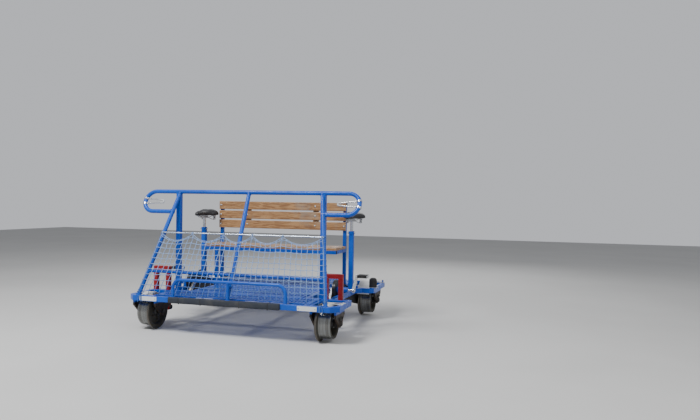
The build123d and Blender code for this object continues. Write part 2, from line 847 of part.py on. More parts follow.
# Pedals: grooved blocks that turn on the crank's pedal spindles.
for side, s in sides.items():
    for place, arm_x, way in (("inner", inner_arm, -1), ("outer", outer_arm, 1)):
        end_y = crank_y + way * crank_length * cos(radians(crank_angle))
        end_z = crank_z + way * crank_length * sin(radians(crank_angle))
        near = arm_x + arm_t / 2 + way * (arm_t / 2 + pedal_gap)
        centre_x = s * (near + way * pedal_w / 2)
        with BuildPart() as pedal:
            with BuildSketch(Plane.YZ.offset(centre_x - pedal_w / 2)):
                with Locations((end_y, end_z)):
                    RectangleRounded(pedal_l, pedal_t, 7)
                for groove in pedal_grooves:
                    for face in (-1, 1):
                        with Locations((end_y + groove, end_z + face * pedal_t / 2)):
                            Rectangle(groove_w, 2 * groove_t, mode=Mode.SUBTRACT)
                with Locations((end_y, end_z)):
                    Circle(pedal_spindle_r + running_gap, mode=Mode.SUBTRACT)
            extrude(amount=pedal_w)
        pedal.part.label = f"pedal_{place}_{side}"
        export_step(pedal.part, f"parts/pedal_{place}_{side}.step")

# Bench frame: legs, seat frame and back posts, of square tube with rounded edges.
seat_mid_z = bench_z + bench_tube / 2
seat_depth = bench_rear_y - bench_front_y + bench_tube
with BuildPart() as bench_frame:
    with BuildSketch(Plane.XY.offset(frame_top)):
        with Locations((-inner_rail_x, bench_front_y), (inner_rail_x, bench_front_y)):
            RectangleRounded(bench_tube, bench_tube, bench_edge)
    extrude(amount=bench_z + bench_tube / 2 - frame_top)
    with BuildSketch(Plane.XY.offset(frame_top + bridge_h)):
        with Locations((-bench_rear_x, bench_rear_y), (bench_rear_x, bench_rear_y)):
            RectangleRounded(bench_tube, bench_tube, bench_edge)
    extrude(amount=bench_back_top - bench_tube / 2 - frame_top - bridge_h)
    with BuildSketch(Plane.XZ.offset(-(bench_front_y - bench_tube / 2))):
        with Locations((-bench_rear_x, seat_mid_z), (bench_rear_x, seat_mid_z)):
            RectangleRounded(bench_tube, bench_tube, bench_edge)
    extrude(amount=-seat_depth)
    with BuildSketch(Plane.YZ.offset(-bench_half)):
        with Locations((bench_front_y, seat_mid_z), (bench_rear_y, seat_mid_z)):
            RectangleRounded(bench_tube, bench_tube, bench_edge)
        with Locations((bench_rear_y, bench_back_top - bench_tube / 2)):
            RectangleRounded(bench_tube, bench_tube, bench_edge)
    extrude(amount=2 * bench_half)
bench_frame.part.label = "bench_frame"
export_step(bench_frame.part, "parts/bench_frame.step")

# Bench seat: slats on two battens that drop inside the seat frame.
seat_z = bench_z + bench_tube
with BuildPart() as bench_seat:
    for i in range(4):
        y = bench_front_y - bench_tube / 2 + i * (seat_slat_w + slat_gap)
        with Locations((0, y, seat_z)):
            Box(2 * bench_half, seat_slat_w, slat_t, align=(Align.CENTER, Align.MIN, Align.MIN))
    fillet(bench_seat.edges().filter_by(Axis.X).group_by(Axis.Z)[-1], radius=5)
    for x in (-batten_x, batten_x):
        with Locations((x, (bench_front_y + bench_rear_y) / 2, seat_z)):
            Box(
                batten_w,
                bench_rear_y - bench_front_y - bench_tube - 2,
                batten_t,
                align=(Align.CENTER, Align.CENTER, Align.MAX),
            )
bench_seat.part.label = "bench_seat"
export_step(bench_seat.part, "parts/bench_seat.step")

# Bench back: three slats on the front of the posts.
back_y = bench_rear_y - bench_tube / 2
back_pitch = slat_w + slat_gap
with BuildPart() as bench_back:
    for i in range(3):
        z = bench_back_top - slat_w / 2 - i * back_pitch
        with Locations((0, back_y - slat_t / 2, z)):
            Box(2 * bench_half, slat_t, slat_w)
    fillet(bench_back.edges().filter_by(Axis.X).group_by(Axis.Y)[0], radius=5)
    for x in (-batten_x, batten_x):
        with Locations((x, back_y, bench_back_top - bench_tube - 1)):
            Box(
                batten_w,
                batten_t,
                3 * back_pitch - slat_gap - bench_tube - 1,
                align=(Align.CENTER, Align.MIN, Align.MAX),
            )
bench_back.part.label = "bench_back"
export_step(bench_back.part, "parts/bench_back.step")

# Rear axle bearings: blocks with a rounded underside, one inside each wheel.
for side, s in sides.items():
    with BuildPart() as axle_bearing:
        with BuildSketch(Plane.YZ.offset(s * bearing_x - bearing_w / 2)):
            with Locations((rear_axle_y, (axle_z + frame_low) / 2)):
                Rectangle(2 * bearing_boss, frame_low - axle_z)
            with Locations((rear_axle_y, axle_z)):
                Circle(bearing_boss)
            with Locations((rear_axle_y, frame_low - bearing_foot / 2)):
                Rectangle(bearing_l, bearing_foot)
            with Locations((rear_axle_y, axle_z)):
                Circle(axle_r + running_gap, mode=Mode.SUBTRACT)
        extrude(amount=bearing_w)
    axle_bearing.part.label = f"axle_bearing_{side}"
    export_step(axle_bearing.part, f"parts/axle_bearing_{side}.step")

# Wheel profile, from the hub's inner face over the flange and the tread to its outer face.
back_profile = [
    (flange_back - 5, axle_r),
    (flange_back - 4, 38),
    (flange_back + 10, 44),
    (flange_back + 20, 96),
    (flange_back + 4, 106),
    (flange_back, 112),
    (flange_back, flange_r - 6),
]
front_profile = [
    (flange_back + 18, flange_r - 6),
    (flange_front, tread_r + 2),
    (flange_front + 6, tread_r),
    (wheel_outer - 4, tread_r - 2.5),
    (wheel_outer, tread_r - 6),
    (wheel_outer, tread_r - 18),
    (wheel_outer - 4, tread_r - 22),
    (flange_front + 20, tread_r - 30),
    (flange_front + 12, 48),
    (wheel_outer - 20, 40),
    (wheel_outer - 6, 34),
    (wheel_outer - 6, axle_r),
]
axle_end = outer_pedestal_x + pedestal_t / 2 + axle_proud

# Front wheels: each turns with its own short axle, held by the two pedestals.
stub_end = inner_pedestal_x - pedestal_t / 2 - axle_proud
for side, s in sides.items():
    with BuildPart() as front_wheel:
        with BuildSketch(Plane(origin=(0, front_axle_y, axle_z), x_dir=(1, 0, 0), z_dir=(0, -1, 0))):
            with BuildLine():
                Polyline((s * stub_end, 0), (s * stub_end, axle_r), *[(s * x, r) for x, r in back_profile])
                ThreePointArc(
                    (s * flange_back, flange_r - 6),
                    (s * (flange_back + 8), flange_r),
                    (s * (flange_back + 18), flange_r - 6),
                )
                Polyline(
                    *[(s * x, r) for x, r in front_profile],
                    (s * axle_end, axle_r),
                    (s * axle_end, 0),
                    (s * stub_end, 0),
                )
            make_face()
        revolve(axis=Axis((0, front_axle_y, axle_z), (1, 0, 0)))
    front_wheel.part.label = f"front_wheel_{side}"
    export_step(front_wheel.part, f"parts/front_wheel_{side}.step")

# Rear wheelset: one axle and its two wheels, turned from a single profile.
with BuildPart() as rear_wheelset:
    with BuildSketch(Plane(origin=(0, rear_axle_y, axle_z), x_dir=(1, 0, 0), z_dir=(0, -1, 0))):
        with BuildLine():
            Polyline((0, 0), (0, axle_r), *back_profile)
            ThreePointArc(
                (flange_back, flange_r - 6),
                (flange_back + 8, flange_r),
                (flange_back + 18, flange_r - 6),
            )
            Polyline(*front_profile, (axle_end, axle_r), (axle_end, 0), (0, 0))
        make_face()
        mirror(about=Plane.YZ)
    revolve(axis=Axis((0, rear_axle_y, axle_z), (1, 0, 0)))
rear_wheelset.part.label = "rear_wheelset"
export_step(rear_wheelset.part, "parts/rear_wheelset.step")
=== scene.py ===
import random
from functools import partialmethod
from math import copysign, cos, exp, pi, radians, sin, sqrt

import bmesh
import bpy
from mathutils import Matrix, Vector


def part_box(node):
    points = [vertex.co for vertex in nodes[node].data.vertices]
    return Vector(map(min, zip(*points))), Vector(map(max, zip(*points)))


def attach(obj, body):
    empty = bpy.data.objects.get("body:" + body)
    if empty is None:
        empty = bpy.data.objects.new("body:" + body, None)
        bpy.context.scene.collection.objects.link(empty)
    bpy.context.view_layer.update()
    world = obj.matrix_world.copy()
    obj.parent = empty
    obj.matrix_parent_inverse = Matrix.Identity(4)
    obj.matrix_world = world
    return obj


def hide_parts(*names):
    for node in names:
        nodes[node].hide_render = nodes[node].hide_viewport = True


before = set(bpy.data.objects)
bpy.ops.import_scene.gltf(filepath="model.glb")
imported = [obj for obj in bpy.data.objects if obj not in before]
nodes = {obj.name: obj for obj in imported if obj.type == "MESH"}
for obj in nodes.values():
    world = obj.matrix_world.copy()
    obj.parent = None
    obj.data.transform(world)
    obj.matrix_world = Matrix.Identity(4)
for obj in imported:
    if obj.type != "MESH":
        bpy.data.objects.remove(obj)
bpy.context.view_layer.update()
random.seed(11)
scene = bpy.context.scene


def middle(node):
    lo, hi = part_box(node)
    return (lo + hi) / 2


# Places shared with the solids, in metres. The front is -Y, X runs across the car, Z is up.
SIDES = {"left": -1, "right": 1}
FRAME_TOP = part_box("floor_main")[0].z
BEAM = 0.042
FRAME_LOW = FRAME_TOP - BEAM
FRONT_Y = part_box("front_plate_right")[1].y
AXLE_Z = middle("front_wheel_right").z
AXLE_Y = {"front": middle("front_wheel_right").y, "rear": middle("rear_wheelset").y}
FOOT_Y = FRONT_Y + BEAM / 2
BAR = Vector((0, FRONT_Y + 0.375, FRAME_TOP + 0.82))
FOOT = Vector((0, FOOT_Y, FRAME_TOP))
UP = (BAR - FOOT).normalized()
OUT = Vector((0, -UP.z, UP.y))
SLOPE = (BAR - FOOT).length
TUBE_R = 0.016
BAR_R = 0.017
SIDE_FOOT, SIDE_LEAN = 0.772, 0.17
POST_X = 0.632
HOOP_X, HOOP_Y = 0.464, FRONT_Y + 0.017
MEMBER_X = 0.705
LOOP_R, LOOP_X = 0.09, 0.84
LOOP_LOW = SLOPE - 2 * LOOP_R
CRANK_Y, CRANK_Z = FRONT_Y + 0.64, FRAME_TOP + 0.038
REAR_Y = FRONT_Y + 1.6
UPWARD = Vector((0, 0, 1))
BENCH_LOW, BENCH_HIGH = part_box("bench_seat")
BACK_LOW, BACK_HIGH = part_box("bench_back")
SEAT_SLAT, BACK_SLAT, SLAT_GAP = 0.064, 0.074, 0.012


def on_slope(u, v, w=0.0):
    """Point of the sloping front: u across the car, v up the slope, w out of it."""
    return Vector((u, 0, 0)) + FOOT + UP * v + OUT * w


def side_u(v):
    """Half width between the centre lines of the side tubes, v up the slope."""
    return SIDE_FOOT - SIDE_LEAN * v


# Materials
class Nodes:
    """The node tree of a material or a world."""

    def __init__(self, owner):
        owner.use_nodes = True
        self.tree = owner.node_tree

    def put(self, node, inputs):
        for key, value in inputs.items():
            if isinstance(value, bpy.types.NodeSocket):
                self.tree.links.new(value, node.inputs[key])
            else:
                node.inputs[key].default_value = value

    def new(self, kind, inputs=None, **values):
        node = self.tree.nodes.new("ShaderNode" + kind)
        for key, value in values.items():
            setattr(node, key, value)
        self.put(node, inputs or {})
        return node

    def calc(self, op, a, b=0.0, clamp=False):
        return self.new("Math", {0: a, 1: b}, operation=op, use_clamp=clamp).outputs[0]

    times = partialmethod(calc, "MULTIPLY")
    plus = partialmethod(calc, "ADD")
    less = partialmethod(calc, "SUBTRACT")
    most = partialmethod(calc, "MAXIMUM")


class Paint(Nodes):
    """A material, with short names for the nodes used here."""

    def __init__(self, name):
        self.mat = bpy.data.materials.new(name)
        super().__init__(self.mat)
        self.bsdf = self.tree.nodes["Principled BSDF"]
        self.place = self.new("TexCoord").outputs["Object"]

    def scaled(self, scale):
        return self.new("Mapping", {"Vector": self.place, "Scale": scale}).outputs["Vector"]

    def noise(self, scale, detail=4.0, rough=0.55, vector=None, warp=0.0):
        inputs = {"Vector": vector or self.place, "Scale": scale, "Detail": detail}
        inputs |= {"Roughness": rough, "Distortion": warp}
        return self.new("TexNoise", inputs).outputs["Fac"]

    def ramp(self, value, low, high, to_low=0.0, to_high=1.0):
        inputs = {"Value": value, "From Min": low, "From Max": high, "To Min": to_low, "To Max": to_high}
        return self.new("MapRange", inputs, interpolation_type="SMOOTHSTEP").outputs["Result"]

    def mix(self, share, a, b):
        a, b = (c if isinstance(c, bpy.types.NodeSocket) else (*c, 1.0) for c in (a, b))
        return self.new("Mix", {0: share, 6: a, 7: b}, data_type="RGBA").outputs[2]

    def axis(self, letter, vector=None):
        return self.new("SeparateXYZ", {0: vector or self.place}).outputs[letter]

    def joined(self, x, y, z=0.0):
        return self.new("CombineXYZ", {0: x, 1: y, 2: z}).outputs[0]

    def edges(self, radius):
        """1 on outer edges, 0 on flat faces."""
        rounded = self.new("Bevel", {"Radius": radius}, samples=4).outputs[0]
        flat = self.new("NewGeometry").outputs["Normal"]
        dot = self.new("VectorMath", {0: rounded, 1: flat}, operation="DOT_PRODUCT")
        return self.ramp(dot.outputs["Value"], 0.99, 0.9)

    def bump(self, height, strength, distance, under=None):
        inputs = {"Height": height, "Strength": strength, "Distance": distance}
        if under:
            inputs["Normal"] = under
        return self.new("Bump", inputs).outputs["Normal"]

    def finish(self, colour, rough, normal=None, metallic=0.0, coat=0.0, sheen=0.0, specular=0.5):
        inputs = {"Base Color": colour, "Roughness": rough, "Metallic": metallic, "Coat Weight": coat}
        inputs |= {"Coat Roughness": 0.12, "Sheen Weight": sheen, "Specular IOR Level": specular}
        if normal:
            inputs["Normal"] = normal
        self.put(self.bsdf, inputs)
        return self.mat


def enamel(
    name, colour, shade, bare, chips=0.5, dust=0.35, rough=0.3, trodden=False, coat=0.05, shade_and_grease_below=None
):
    """Brushed-on gloss enamel: tone drift, chips at the edges, dust on what faces up, splashes low down, and
    painted shade with grease below a given height.
    """
    p = Paint(name)
    base = p.mix(p.ramp(p.noise(3.1, 3, 0.6), 0.3, 0.7), colour, shade)
    fade = p.ramp(p.noise(14, 5, 0.65, warp=0.6), 0.52, 0.8, 0.0, 0.25)
    base = p.mix(fade, base, tuple(min(1.0, c * 1.15 + 0.01) for c in colour))
    break_up = p.ramp(p.noise(42, 5, 0.7), 0.60 - 0.08 * chips, 0.66 - 0.08 * chips)
    nick = p.times(p.ramp(p.noise(30, 6, 0.75, warp=1.2), 0.72, 0.74), chips)
    chip = p.most(p.times(p.edges(0.003), break_up), nick)
    if trodden:
        tread = p.ramp(p.noise(5.5, 5, 0.6), 0.4, 0.66)
        scuff = p.ramp(p.noise(60, 6, 0.8, p.scaled((1.0, 0.25, 1.0))), 0.5, 0.62)
        chip = p.most(chip, p.times(tread, p.times(scuff, 0.4)))
    rust = p.mix(p.ramp(p.noise(60, 4, 0.6), 0.42, 0.6), bare, (0.16, 0.065, 0.03))
    tint = p.mix(chip, base, rust)
    normal = p.new("NewGeometry").outputs["Normal"]
    up = p.ramp(p.axis("Z", normal), 0.35, 0.95)
    speck = p.ramp(p.noise(9, 6, 0.7), 0.42, 0.75)
    low = p.ramp(p.axis("Z"), 0.26, 0.17)
    dirt = p.times(p.most(p.times(up, dust), p.times(low, 0.3)), speck)
    tint = p.mix(dirt, tint, (0.17, 0.15, 0.12))
    # Painted shade: below the given height the paint turns near black, as under the frame, mixed with
    # grease.
    if shade_and_grease_below:
        shade_and_grime = p.less(p.axis("Z"), p.times(p.noise(30, 4, 0.6), 0.016))
        shade_and_grime = p.ramp(shade_and_grime, shade_and_grease_below, shade_and_grease_below - 0.012)
        black = p.mix(p.ramp(p.noise(45, 5, 0.65), 0.4, 0.62), (0.014, 0.014, 0.015), (0.055, 0.034, 0.020))
        tint = p.mix(shade_and_grime, tint, black)
        dirt = p.most(dirt, p.times(shade_and_grime, 0.7))
    gloss = p.ramp(p.noise(18, 5, 0.7), 0.3, 0.75, rough - 0.08, rough + 0.16)
    gloss = p.plus(gloss, p.times(p.plus(chip, dirt), 0.35), clamp=True)
    skin = p.bump(p.noise(210, 2, 0.5), 0.12, 0.0006)
    skin = p.bump(p.noise(34, 3, 0.5), 0.1, 0.002, skin)
    skin = p.bump(p.less(1.0, chip), 0.35, 0.0006, skin)
    return p.finish(tint, gloss, skin, coat=coat, specular=0.3)


BLUE, BLUE_SHADE = (0.004, 0.100, 0.56), (0.002, 0.068, 0.43)
BARE = (0.20, 0.19, 0.18)
blue_paint = enamel("blue_enamel", BLUE, BLUE_SHADE, BARE, 0.4, 0.2)
# Near black below 0.216: painted shade under the frame, with grease.
chassis_paint = enamel("chassis_enamel", BLUE, BLUE_SHADE, (0.18, 0.17, 0.16), 0.6, 0.25, shade_and_grease_below=0.216)
deck_paint = enamel("deck_enamel", (0.006, 0.115, 0.60), (0.003, 0.078, 0.46), BARE, 0.6, 0.35, 0.4, True)
red_paint = enamel("red_enamel", (0.33, 0.009, 0.012), (0.22, 0.006, 0.009), (0.20, 0.18, 0.16), 0.7, 0.2)
bearing_paint = enamel(
    "bearing_primer", (0.26, 0.035, 0.025), (0.15, 0.025, 0.02), (0.10, 0.09, 0.08), 0.9, 0.6, 0.55, coat=0.0
)
white_paint = enamel("white_enamel", (0.80, 0.81, 0.80), (0.72, 0.73, 0.72), (0.25, 0.23, 0.21), rough=0.32)
plate_paint = enamel(
    "plate_white", (0.76, 0.79, 0.82), (0.70, 0.73, 0.76), (0.45, 0.45, 0.44), 0.3, 0.25, 0.38
)
case_paint = enamel(
    "case_black", (0.018, 0.019, 0.022), (0.012, 0.012, 0.014), (0.18, 0.17, 0.16), 0.7, 0.45, 0.38
)


def steel(name, colour, rough, dirt, streak=(1, 1, 1)):
    p = Paint(name)
    grain = p.noise(130, 5, 0.65, p.scaled(streak))
    stain = p.ramp(p.noise(17, 6, 0.7, warp=0.5), 0.48, 0.75, 0.0, dirt)
    tint = p.mix(p.ramp(grain, 0.25, 0.75), tuple(c * 0.82 for c in colour), colour)
    tint = p.mix(stain, tint, (0.12, 0.085, 0.06))
    gloss = p.plus(p.ramp(grain, 0.3, 0.7, rough - 0.06, rough + 0.1), p.times(stain, 0.4), clamp=True)
    shine = p.ramp(stain, 0.0, 0.6, 1.0, 0.35)
    return p.finish(tint, gloss, p.bump(grain, 0.08, 0.0005), metallic=shine)


bright_steel = steel("bright_steel", (0.72, 0.73, 0.75), 0.2, 0.22)
zinc = steel("zinc_plate", (0.55, 0.56, 0.57), 0.34, 0.35)
rod_steel = steel("rod_steel", (0.62, 0.70, 0.82), 0.28, 0.12, (0.08, 1, 1))
cast_iron = steel("cast_iron", (0.060, 0.058, 0.056), 0.62, 0.7)


def wheel_steel(name, axle_y):
    """Rolling faces polished by the rail, the discs under brake dust, grease round the hub."""
    p = Paint(name)
    x, y, z = (p.axis(k) for k in "XYZ")
    dy, dz = p.less(y, axle_y), p.less(z, AXLE_Z)
    radius = p.calc("SQRT", p.plus(p.times(dy, dy), p.times(dz, dz)))
    across = p.calc("ABSOLUTE", x)
    on_tread = p.times(p.ramp(radius, 0.1135, 0.1165), p.ramp(across, 0.7085, 0.7135))
    on_tread = p.times(on_tread, p.ramp(across, 0.8008, 0.7985))
    on_flange = p.times(p.ramp(radius, 0.1385, 0.1405), p.ramp(across, 0.706, 0.701))
    rings = p.joined(across, p.times(radius, 0.4))
    turned = p.noise(900, 3, 0.7, rings)
    band = p.noise(120, 2, 0.5, rings)
    patch = p.noise(24, 5, 0.65)
    bright = p.mix(p.ramp(turned, 0.3, 0.7), (0.16, 0.165, 0.16), (0.30, 0.305, 0.30))
    bright = p.mix(p.ramp(band, 0.45, 0.7, 0.0, 0.7), bright, (0.11, 0.105, 0.095))
    bright = p.mix(p.ramp(patch, 0.55, 0.8, 0.0, 0.4), bright, (0.12, 0.095, 0.07))
    bright = p.mix(p.times(on_flange, 0.75), bright, (0.10, 0.08, 0.06))
    dull = p.mix(p.ramp(patch, 0.35, 0.65), (0.020, 0.024, 0.018), (0.050, 0.044, 0.032))
    rust = p.ramp(p.noise(70, 5, 0.7, warp=0.8), 0.54, 0.68, 0.0, 0.7)
    dull = p.mix(rust, dull, (0.115, 0.052, 0.024))
    grease = p.ramp(radius, 0.062, 0.040)
    dull = p.mix(grease, dull, (0.012, 0.011, 0.010))
    polished = p.most(on_tread, on_flange)
    rough = p.ramp(turned, 0.3, 0.7, 0.2, 0.36)
    rough_dull = p.less(p.ramp(patch, 0.3, 0.7, 0.6, 0.85), p.times(grease, 0.35))
    gloss = p.new("Mix", {0: polished, 2: rough_dull, 3: rough}, data_type="FLOAT").outputs[0]
    cast = p.times(p.noise(160, 5, 0.7), p.less(1.0, polished))
    normal = p.bump(p.plus(p.times(turned, polished), cast), 0.25, 0.0009)
    return p.finish(p.mix(polished, dull, bright), gloss, normal, metallic=p.times(polished, 0.95))


def rubber(name, colour, rough=0.72, grain=260, dust=0.3):
    p = Paint(name)
    fine = p.noise(grain, 3, 0.6)
    pale = p.ramp(p.noise(13, 6, 0.7), 0.45, 0.8, 0.0, dust)
    tint = p.mix(p.ramp(fine, 0.3, 0.7), tuple(c * 0.7 for c in colour), colour)
    tint = p.mix(pale, tint, (0.17, 0.155, 0.13))
    gloss = p.ramp(fine, 0.3, 0.7, rough - 0.1, rough + 0.12)
    return p.finish(tint, gloss, p.bump(fine, 0.3, 0.0007), specular=0.35)


black_rubber = rubber("black_rubber", (0.022, 0.022, 0.024))
sleeve_foam = rubber("sleeve_foam", (0.038, 0.045, 0.060), 0.85, 420)
pedal_rubber = rubber("pedal_rubber", (0.020, 0.020, 0.021), 0.68, 300, 0.55)
saddle_piping = rubber("saddle_piping", (0.016, 0.016, 0.017), 0.42, 300, 0.15)
thread = rubber("saddle_thread", (0.055, 0.055, 0.058), 0.8, 500, 0.2)
lever_cap = rubber("lever_cap", (0.62, 0.64, 0.66), 0.45, 200, 0.25)


def vinyl():
    p = Paint("saddle_vinyl")
    crease = p.noise(36, 4, 0.6, warp=1.0)
    worn = p.ramp(p.noise(9, 4, 0.6), 0.5, 0.75, 0.0, 0.35)
    tint = p.mix(p.ramp(crease, 0.3, 0.75), (0.014, 0.014, 0.016), (0.028, 0.028, 0.031))
    tint = p.mix(worn, tint, (0.07, 0.068, 0.065))
    grain = p.new("TexVoronoi", {"Vector": p.place, "Scale": 520}).outputs["Distance"]
    normal = p.bump(grain, 0.3, 0.0006)
    normal = p.bump(crease, 0.16, 0.003, normal)
    return p.finish(tint, p.ramp(crease, 0.3, 0.7, 0.36, 0.52), normal, specular=0.45)


def slat_wood():
    """Varnished softwood with the grain along X, every slat cut from another board."""
    p = Paint("slat_wood")
    x, y, z = (p.axis(k) for k in "XYZ")
    seat_row = p.calc("FLOOR", p.calc("DIVIDE", p.plus(y, SLAT_GAP / 2 - BENCH_LOW.y), SEAT_SLAT + SLAT_GAP))
    back_row = p.calc("FLOOR", p.calc("DIVIDE", p.less(z, SLAT_GAP / 2 + BACK_HIGH.z), BACK_SLAT + SLAT_GAP))
    board = p.plus(seat_row, back_row)
    along = p.joined(p.times(x, 0.1), p.plus(y, p.times(board, 0.37)), z)
    rings = p.noise(62, 3, 0.5, along, warp=1.6)
    pores = p.noise(620, 2, 0.6, along)
    grey = p.ramp(p.noise(7, 5, 0.65), 0.5, 0.75, 0.0, 0.55)
    tint = p.mix(p.ramp(rings, 0.3, 0.68), (0.225, 0.105, 0.040), (0.47, 0.265, 0.115))
    tint = p.mix(p.ramp(pores, 0.5, 0.72, 0.0, 0.45), tint, (0.10, 0.05, 0.022))
    tint = p.mix(grey, tint, (0.26, 0.23, 0.19))
    edge = p.times(p.edges(0.005), p.ramp(p.noise(50, 4, 0.7), 0.42, 0.6))
    tint = p.mix(edge, tint, (0.36, 0.29, 0.21))
    normal = p.bump(rings, 0.12, 0.0012)
    normal = p.bump(pores, 0.2, 0.0004, normal)
    return p.finish(tint, p.ramp(grey, 0.0, 0.5, 0.38, 0.7), normal, coat=0.15)


def rope(name, groove, crest, faded):
    """Laid cord: strands that wind round it, from the mesh's own UV map (along, around)."""
    p = Paint(name)
    uv = p.new("UVMap").outputs["UV"]
    turn = p.plus(p.times(p.axis("X", uv), 2 * pi * 130), p.times(p.axis("Y", uv), 2 * pi * 3))
    strand = p.calc("SINE", turn)
    fuzz = p.noise(900, 3, 0.7)
    dirty = p.ramp(p.noise(11, 5, 0.6), 0.4, 0.75, 0.0, 0.5)
    tint = p.mix(p.ramp(strand, -0.8, 0.6), groove, crest)
    tint = p.mix(dirty, tint, faded)
    low = p.ramp(p.axis("Z"), 0.48, 0.30, 0.0, 0.8)
    tint = p.mix(low, tint, (0.05, 0.14, 0.40))
    normal = p.bump(strand, 0.5, 0.0007)
    normal = p.bump(fuzz, 0.25, 0.0005, normal)
    return p.finish(tint, p.ramp(fuzz, 0.3, 0.7, 0.62, 0.85), normal, sheen=0.25, specular=0.3)


wheel_mats = {end: wheel_steel(f"wheel_steel_{end}", AXLE_Y[end]) for end in AXLE_Y}
saddle_vinyl, bench_wood = vinyl(), slat_wood()
net_cord = rope("net_cord", (0.13, 0.26, 0.58), (0.40, 0.56, 0.84), (0.27, 0.36, 0.50))
lash_cord = rope("lash_cord", (0.03, 0.12, 0.42), (0.12, 0.28, 0.68), (0.10, 0.20, 0.45))
weld_bead = enamel("weld_blue", (0.004, 0.090, 0.50), BLUE_SHADE, (0.16, 0.14, 0.12), 0.7, 0.4, 0.4)


def dress(mat, *patterns):
    for name, obj in nodes.items():
        if any(name == q or (q.endswith("*") and name.startswith(q[:-1])) for q in patterns):
            obj.data.materials.clear()
            obj.data.materials.append(mat)


dress(chassis_paint, "chassis_frame")
dress(blue_paint, "front_frame", "handlebar", "saddle_post_*", "bench_frame")
dress(deck_paint, "floor_*")
dress(red_paint, "brake_frame_*")
dress(cast_iron, "brake_shoe_*")
dress(bearing_paint, "axle_bearing_*")
dress(white_paint, "mudguard_*")
dress(plate_paint, "front_plate_*")
dress(black_rubber, "buffer_*")
dress(pedal_rubber, "pedal_inner_*", "pedal_outer_*")
dress(bright_steel, "seat_pin_*", "brake_lever_*", "crank_*")
dress(rod_steel, "net_rod")
dress(wheel_mats["front"], "front_wheel_*")
dress(wheel_mats["rear"], "rear_wheelset")
dress(bench_wood, "bench_seat", "bench_back")
dress(case_paint, "chain_case_*")


# Mesh helpers
def turn_angles(steps):
    return [2 * pi * k / steps for k in range(steps)]


def round_points(centre, a, b, radius, steps):
    """Points of a circle through two unit directions a and b."""
    return [centre + (a * cos(t) + b * sin(t)) * radius for t in turn_angles(steps)]


def skin(bm, rings, looped=False):
    """Faces between each ring of vertices and the next."""
    for a, b in zip(rings, rings[1:] + rings[:1] if looped else rings[1:]):
        for k in range(len(a)):
            m = (k + 1) % len(a)
            bm.faces.new((a[k], a[m], b[m], b[k]))


def mesh_object(name, bm, mat):
    mesh = bpy.data.meshes.new(name)
    bm.to_mesh(mesh)
    bm.free()
    obj = bpy.data.objects.new(name, mesh)
    scene.collection.objects.link(obj)
    mesh.materials.append(mat)
    return obj


def mesh_piece(name, bm, mat, body="frame"):
    """A smooth-shaded piece that rides on a body."""
    obj = mesh_object(name, bm, mat)
    for face in obj.data.polygons:
        face.use_smooth = True
    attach(obj, body)
    return obj


def frames_along(points, closed):
    """Unit tangents and a normal that doesn't twist, for each point of a line."""
    n = len(points)
    tangents = []
    for i in range(n):
        before = points[i - 1 if closed or i else i]
        after = points[(i + 1) % n if closed or i < n - 1 else i]
        tangents.append((after - before).normalized())
    normals = [tangents[0].orthogonal().normalized()]
    for a, b in zip(tangents, tangents[1:]):
        normals.append((a.rotation_difference(b) @ normals[-1]).normalized())
    return tangents, normals


def tube(bm, points, radius, sides, closed=False, uv=False):
    """Sweeps a circle along the points. radius is a number or a function of the point's index."""
    points = [Vector(q) for q in points]
    tangents, normals = frames_along(points, closed)
    layer = bm.loops.layers.uv.verify() if uv else None
    rings, along = [], [0.0]
    for i, q in enumerate(points):
        along.append(along[i] + (points[(i + 1) % len(points)] - q).length)
        side = tangents[i].cross(normals[i])
        r = radius(i) if callable(radius) else radius
        rings.append([bm.verts.new(v) for v in round_points(q, normals[i], side, r, sides)])
    for i in range(len(rings) if closed else len(rings) - 1):
        a, b, near, far = rings[i], rings[(i + 1) % len(rings)], along[i], along[i + 1]
        for k in range(sides):
            m = (k + 1) % sides
            face = bm.faces.new((a[k], a[m], b[m], b[k]))
            if layer:
                low, high = k / sides, (k + 1) / sides
                for loop, value in zip(face.loops, ((near, low), (near, high), (far, high), (far, low))):
                    loop[layer].uv = value
    if not closed:
        bm.faces.new(list(reversed(rings[0])))
        bm.faces.new(rings[-1])


def between(p0, p1, p2, p3, t):
    """Catmull-Rom value at t between p1 and p2, for numbers or vectors."""
    bend = (2 * p0 - 5 * p1 + 4 * p2 - p3) * t * t + (3 * p1 - p0 - 3 * p2 + p3) * t ** 3
    return 0.5 * (2 * p1 + (p2 - p0) * t + bend)


def smooth_line(points, steps):
    """Catmull-Rom line through the points."""
    points = [Vector(q) for q in points]
    ends = [points[0] * 2 - points[1], *points, points[-1] * 2 - points[-2]]
    out = []
    for four in zip(ends, ends[1:], ends[2:], ends[3:]):
        out += [between(*four, step / steps) for step in range(steps)]
    return [*out, points[-1]]


def three_axes(axis):
    """An axis as a unit vector, and two more across it."""
    axis = Vector(axis).normalized()
    side = axis.orthogonal().normalized()
    return axis, side, axis.cross(side)


def lathe(bm, profile, centre, axis, steps):
    """Revolves (radius, height) pairs round an axis through centre. Radius 0 is a single vertex."""
    axis, side, other = three_axes(axis)
    rings = []
    for r, h in profile:
        ring = round_points(Vector(centre) + axis * h, side, other, r, steps if r else 1)
        rings.append([bm.verts.new(v) for v in ring])
    for a, b in zip(rings, rings[1:]):
        for k in range(steps):
            m = (k + 1) % steps
            corners = (a[k % len(a)], b[k % len(b)], b[m % len(b)], a[m % len(a)])
            bm.faces.new(list(dict.fromkeys(corners)))


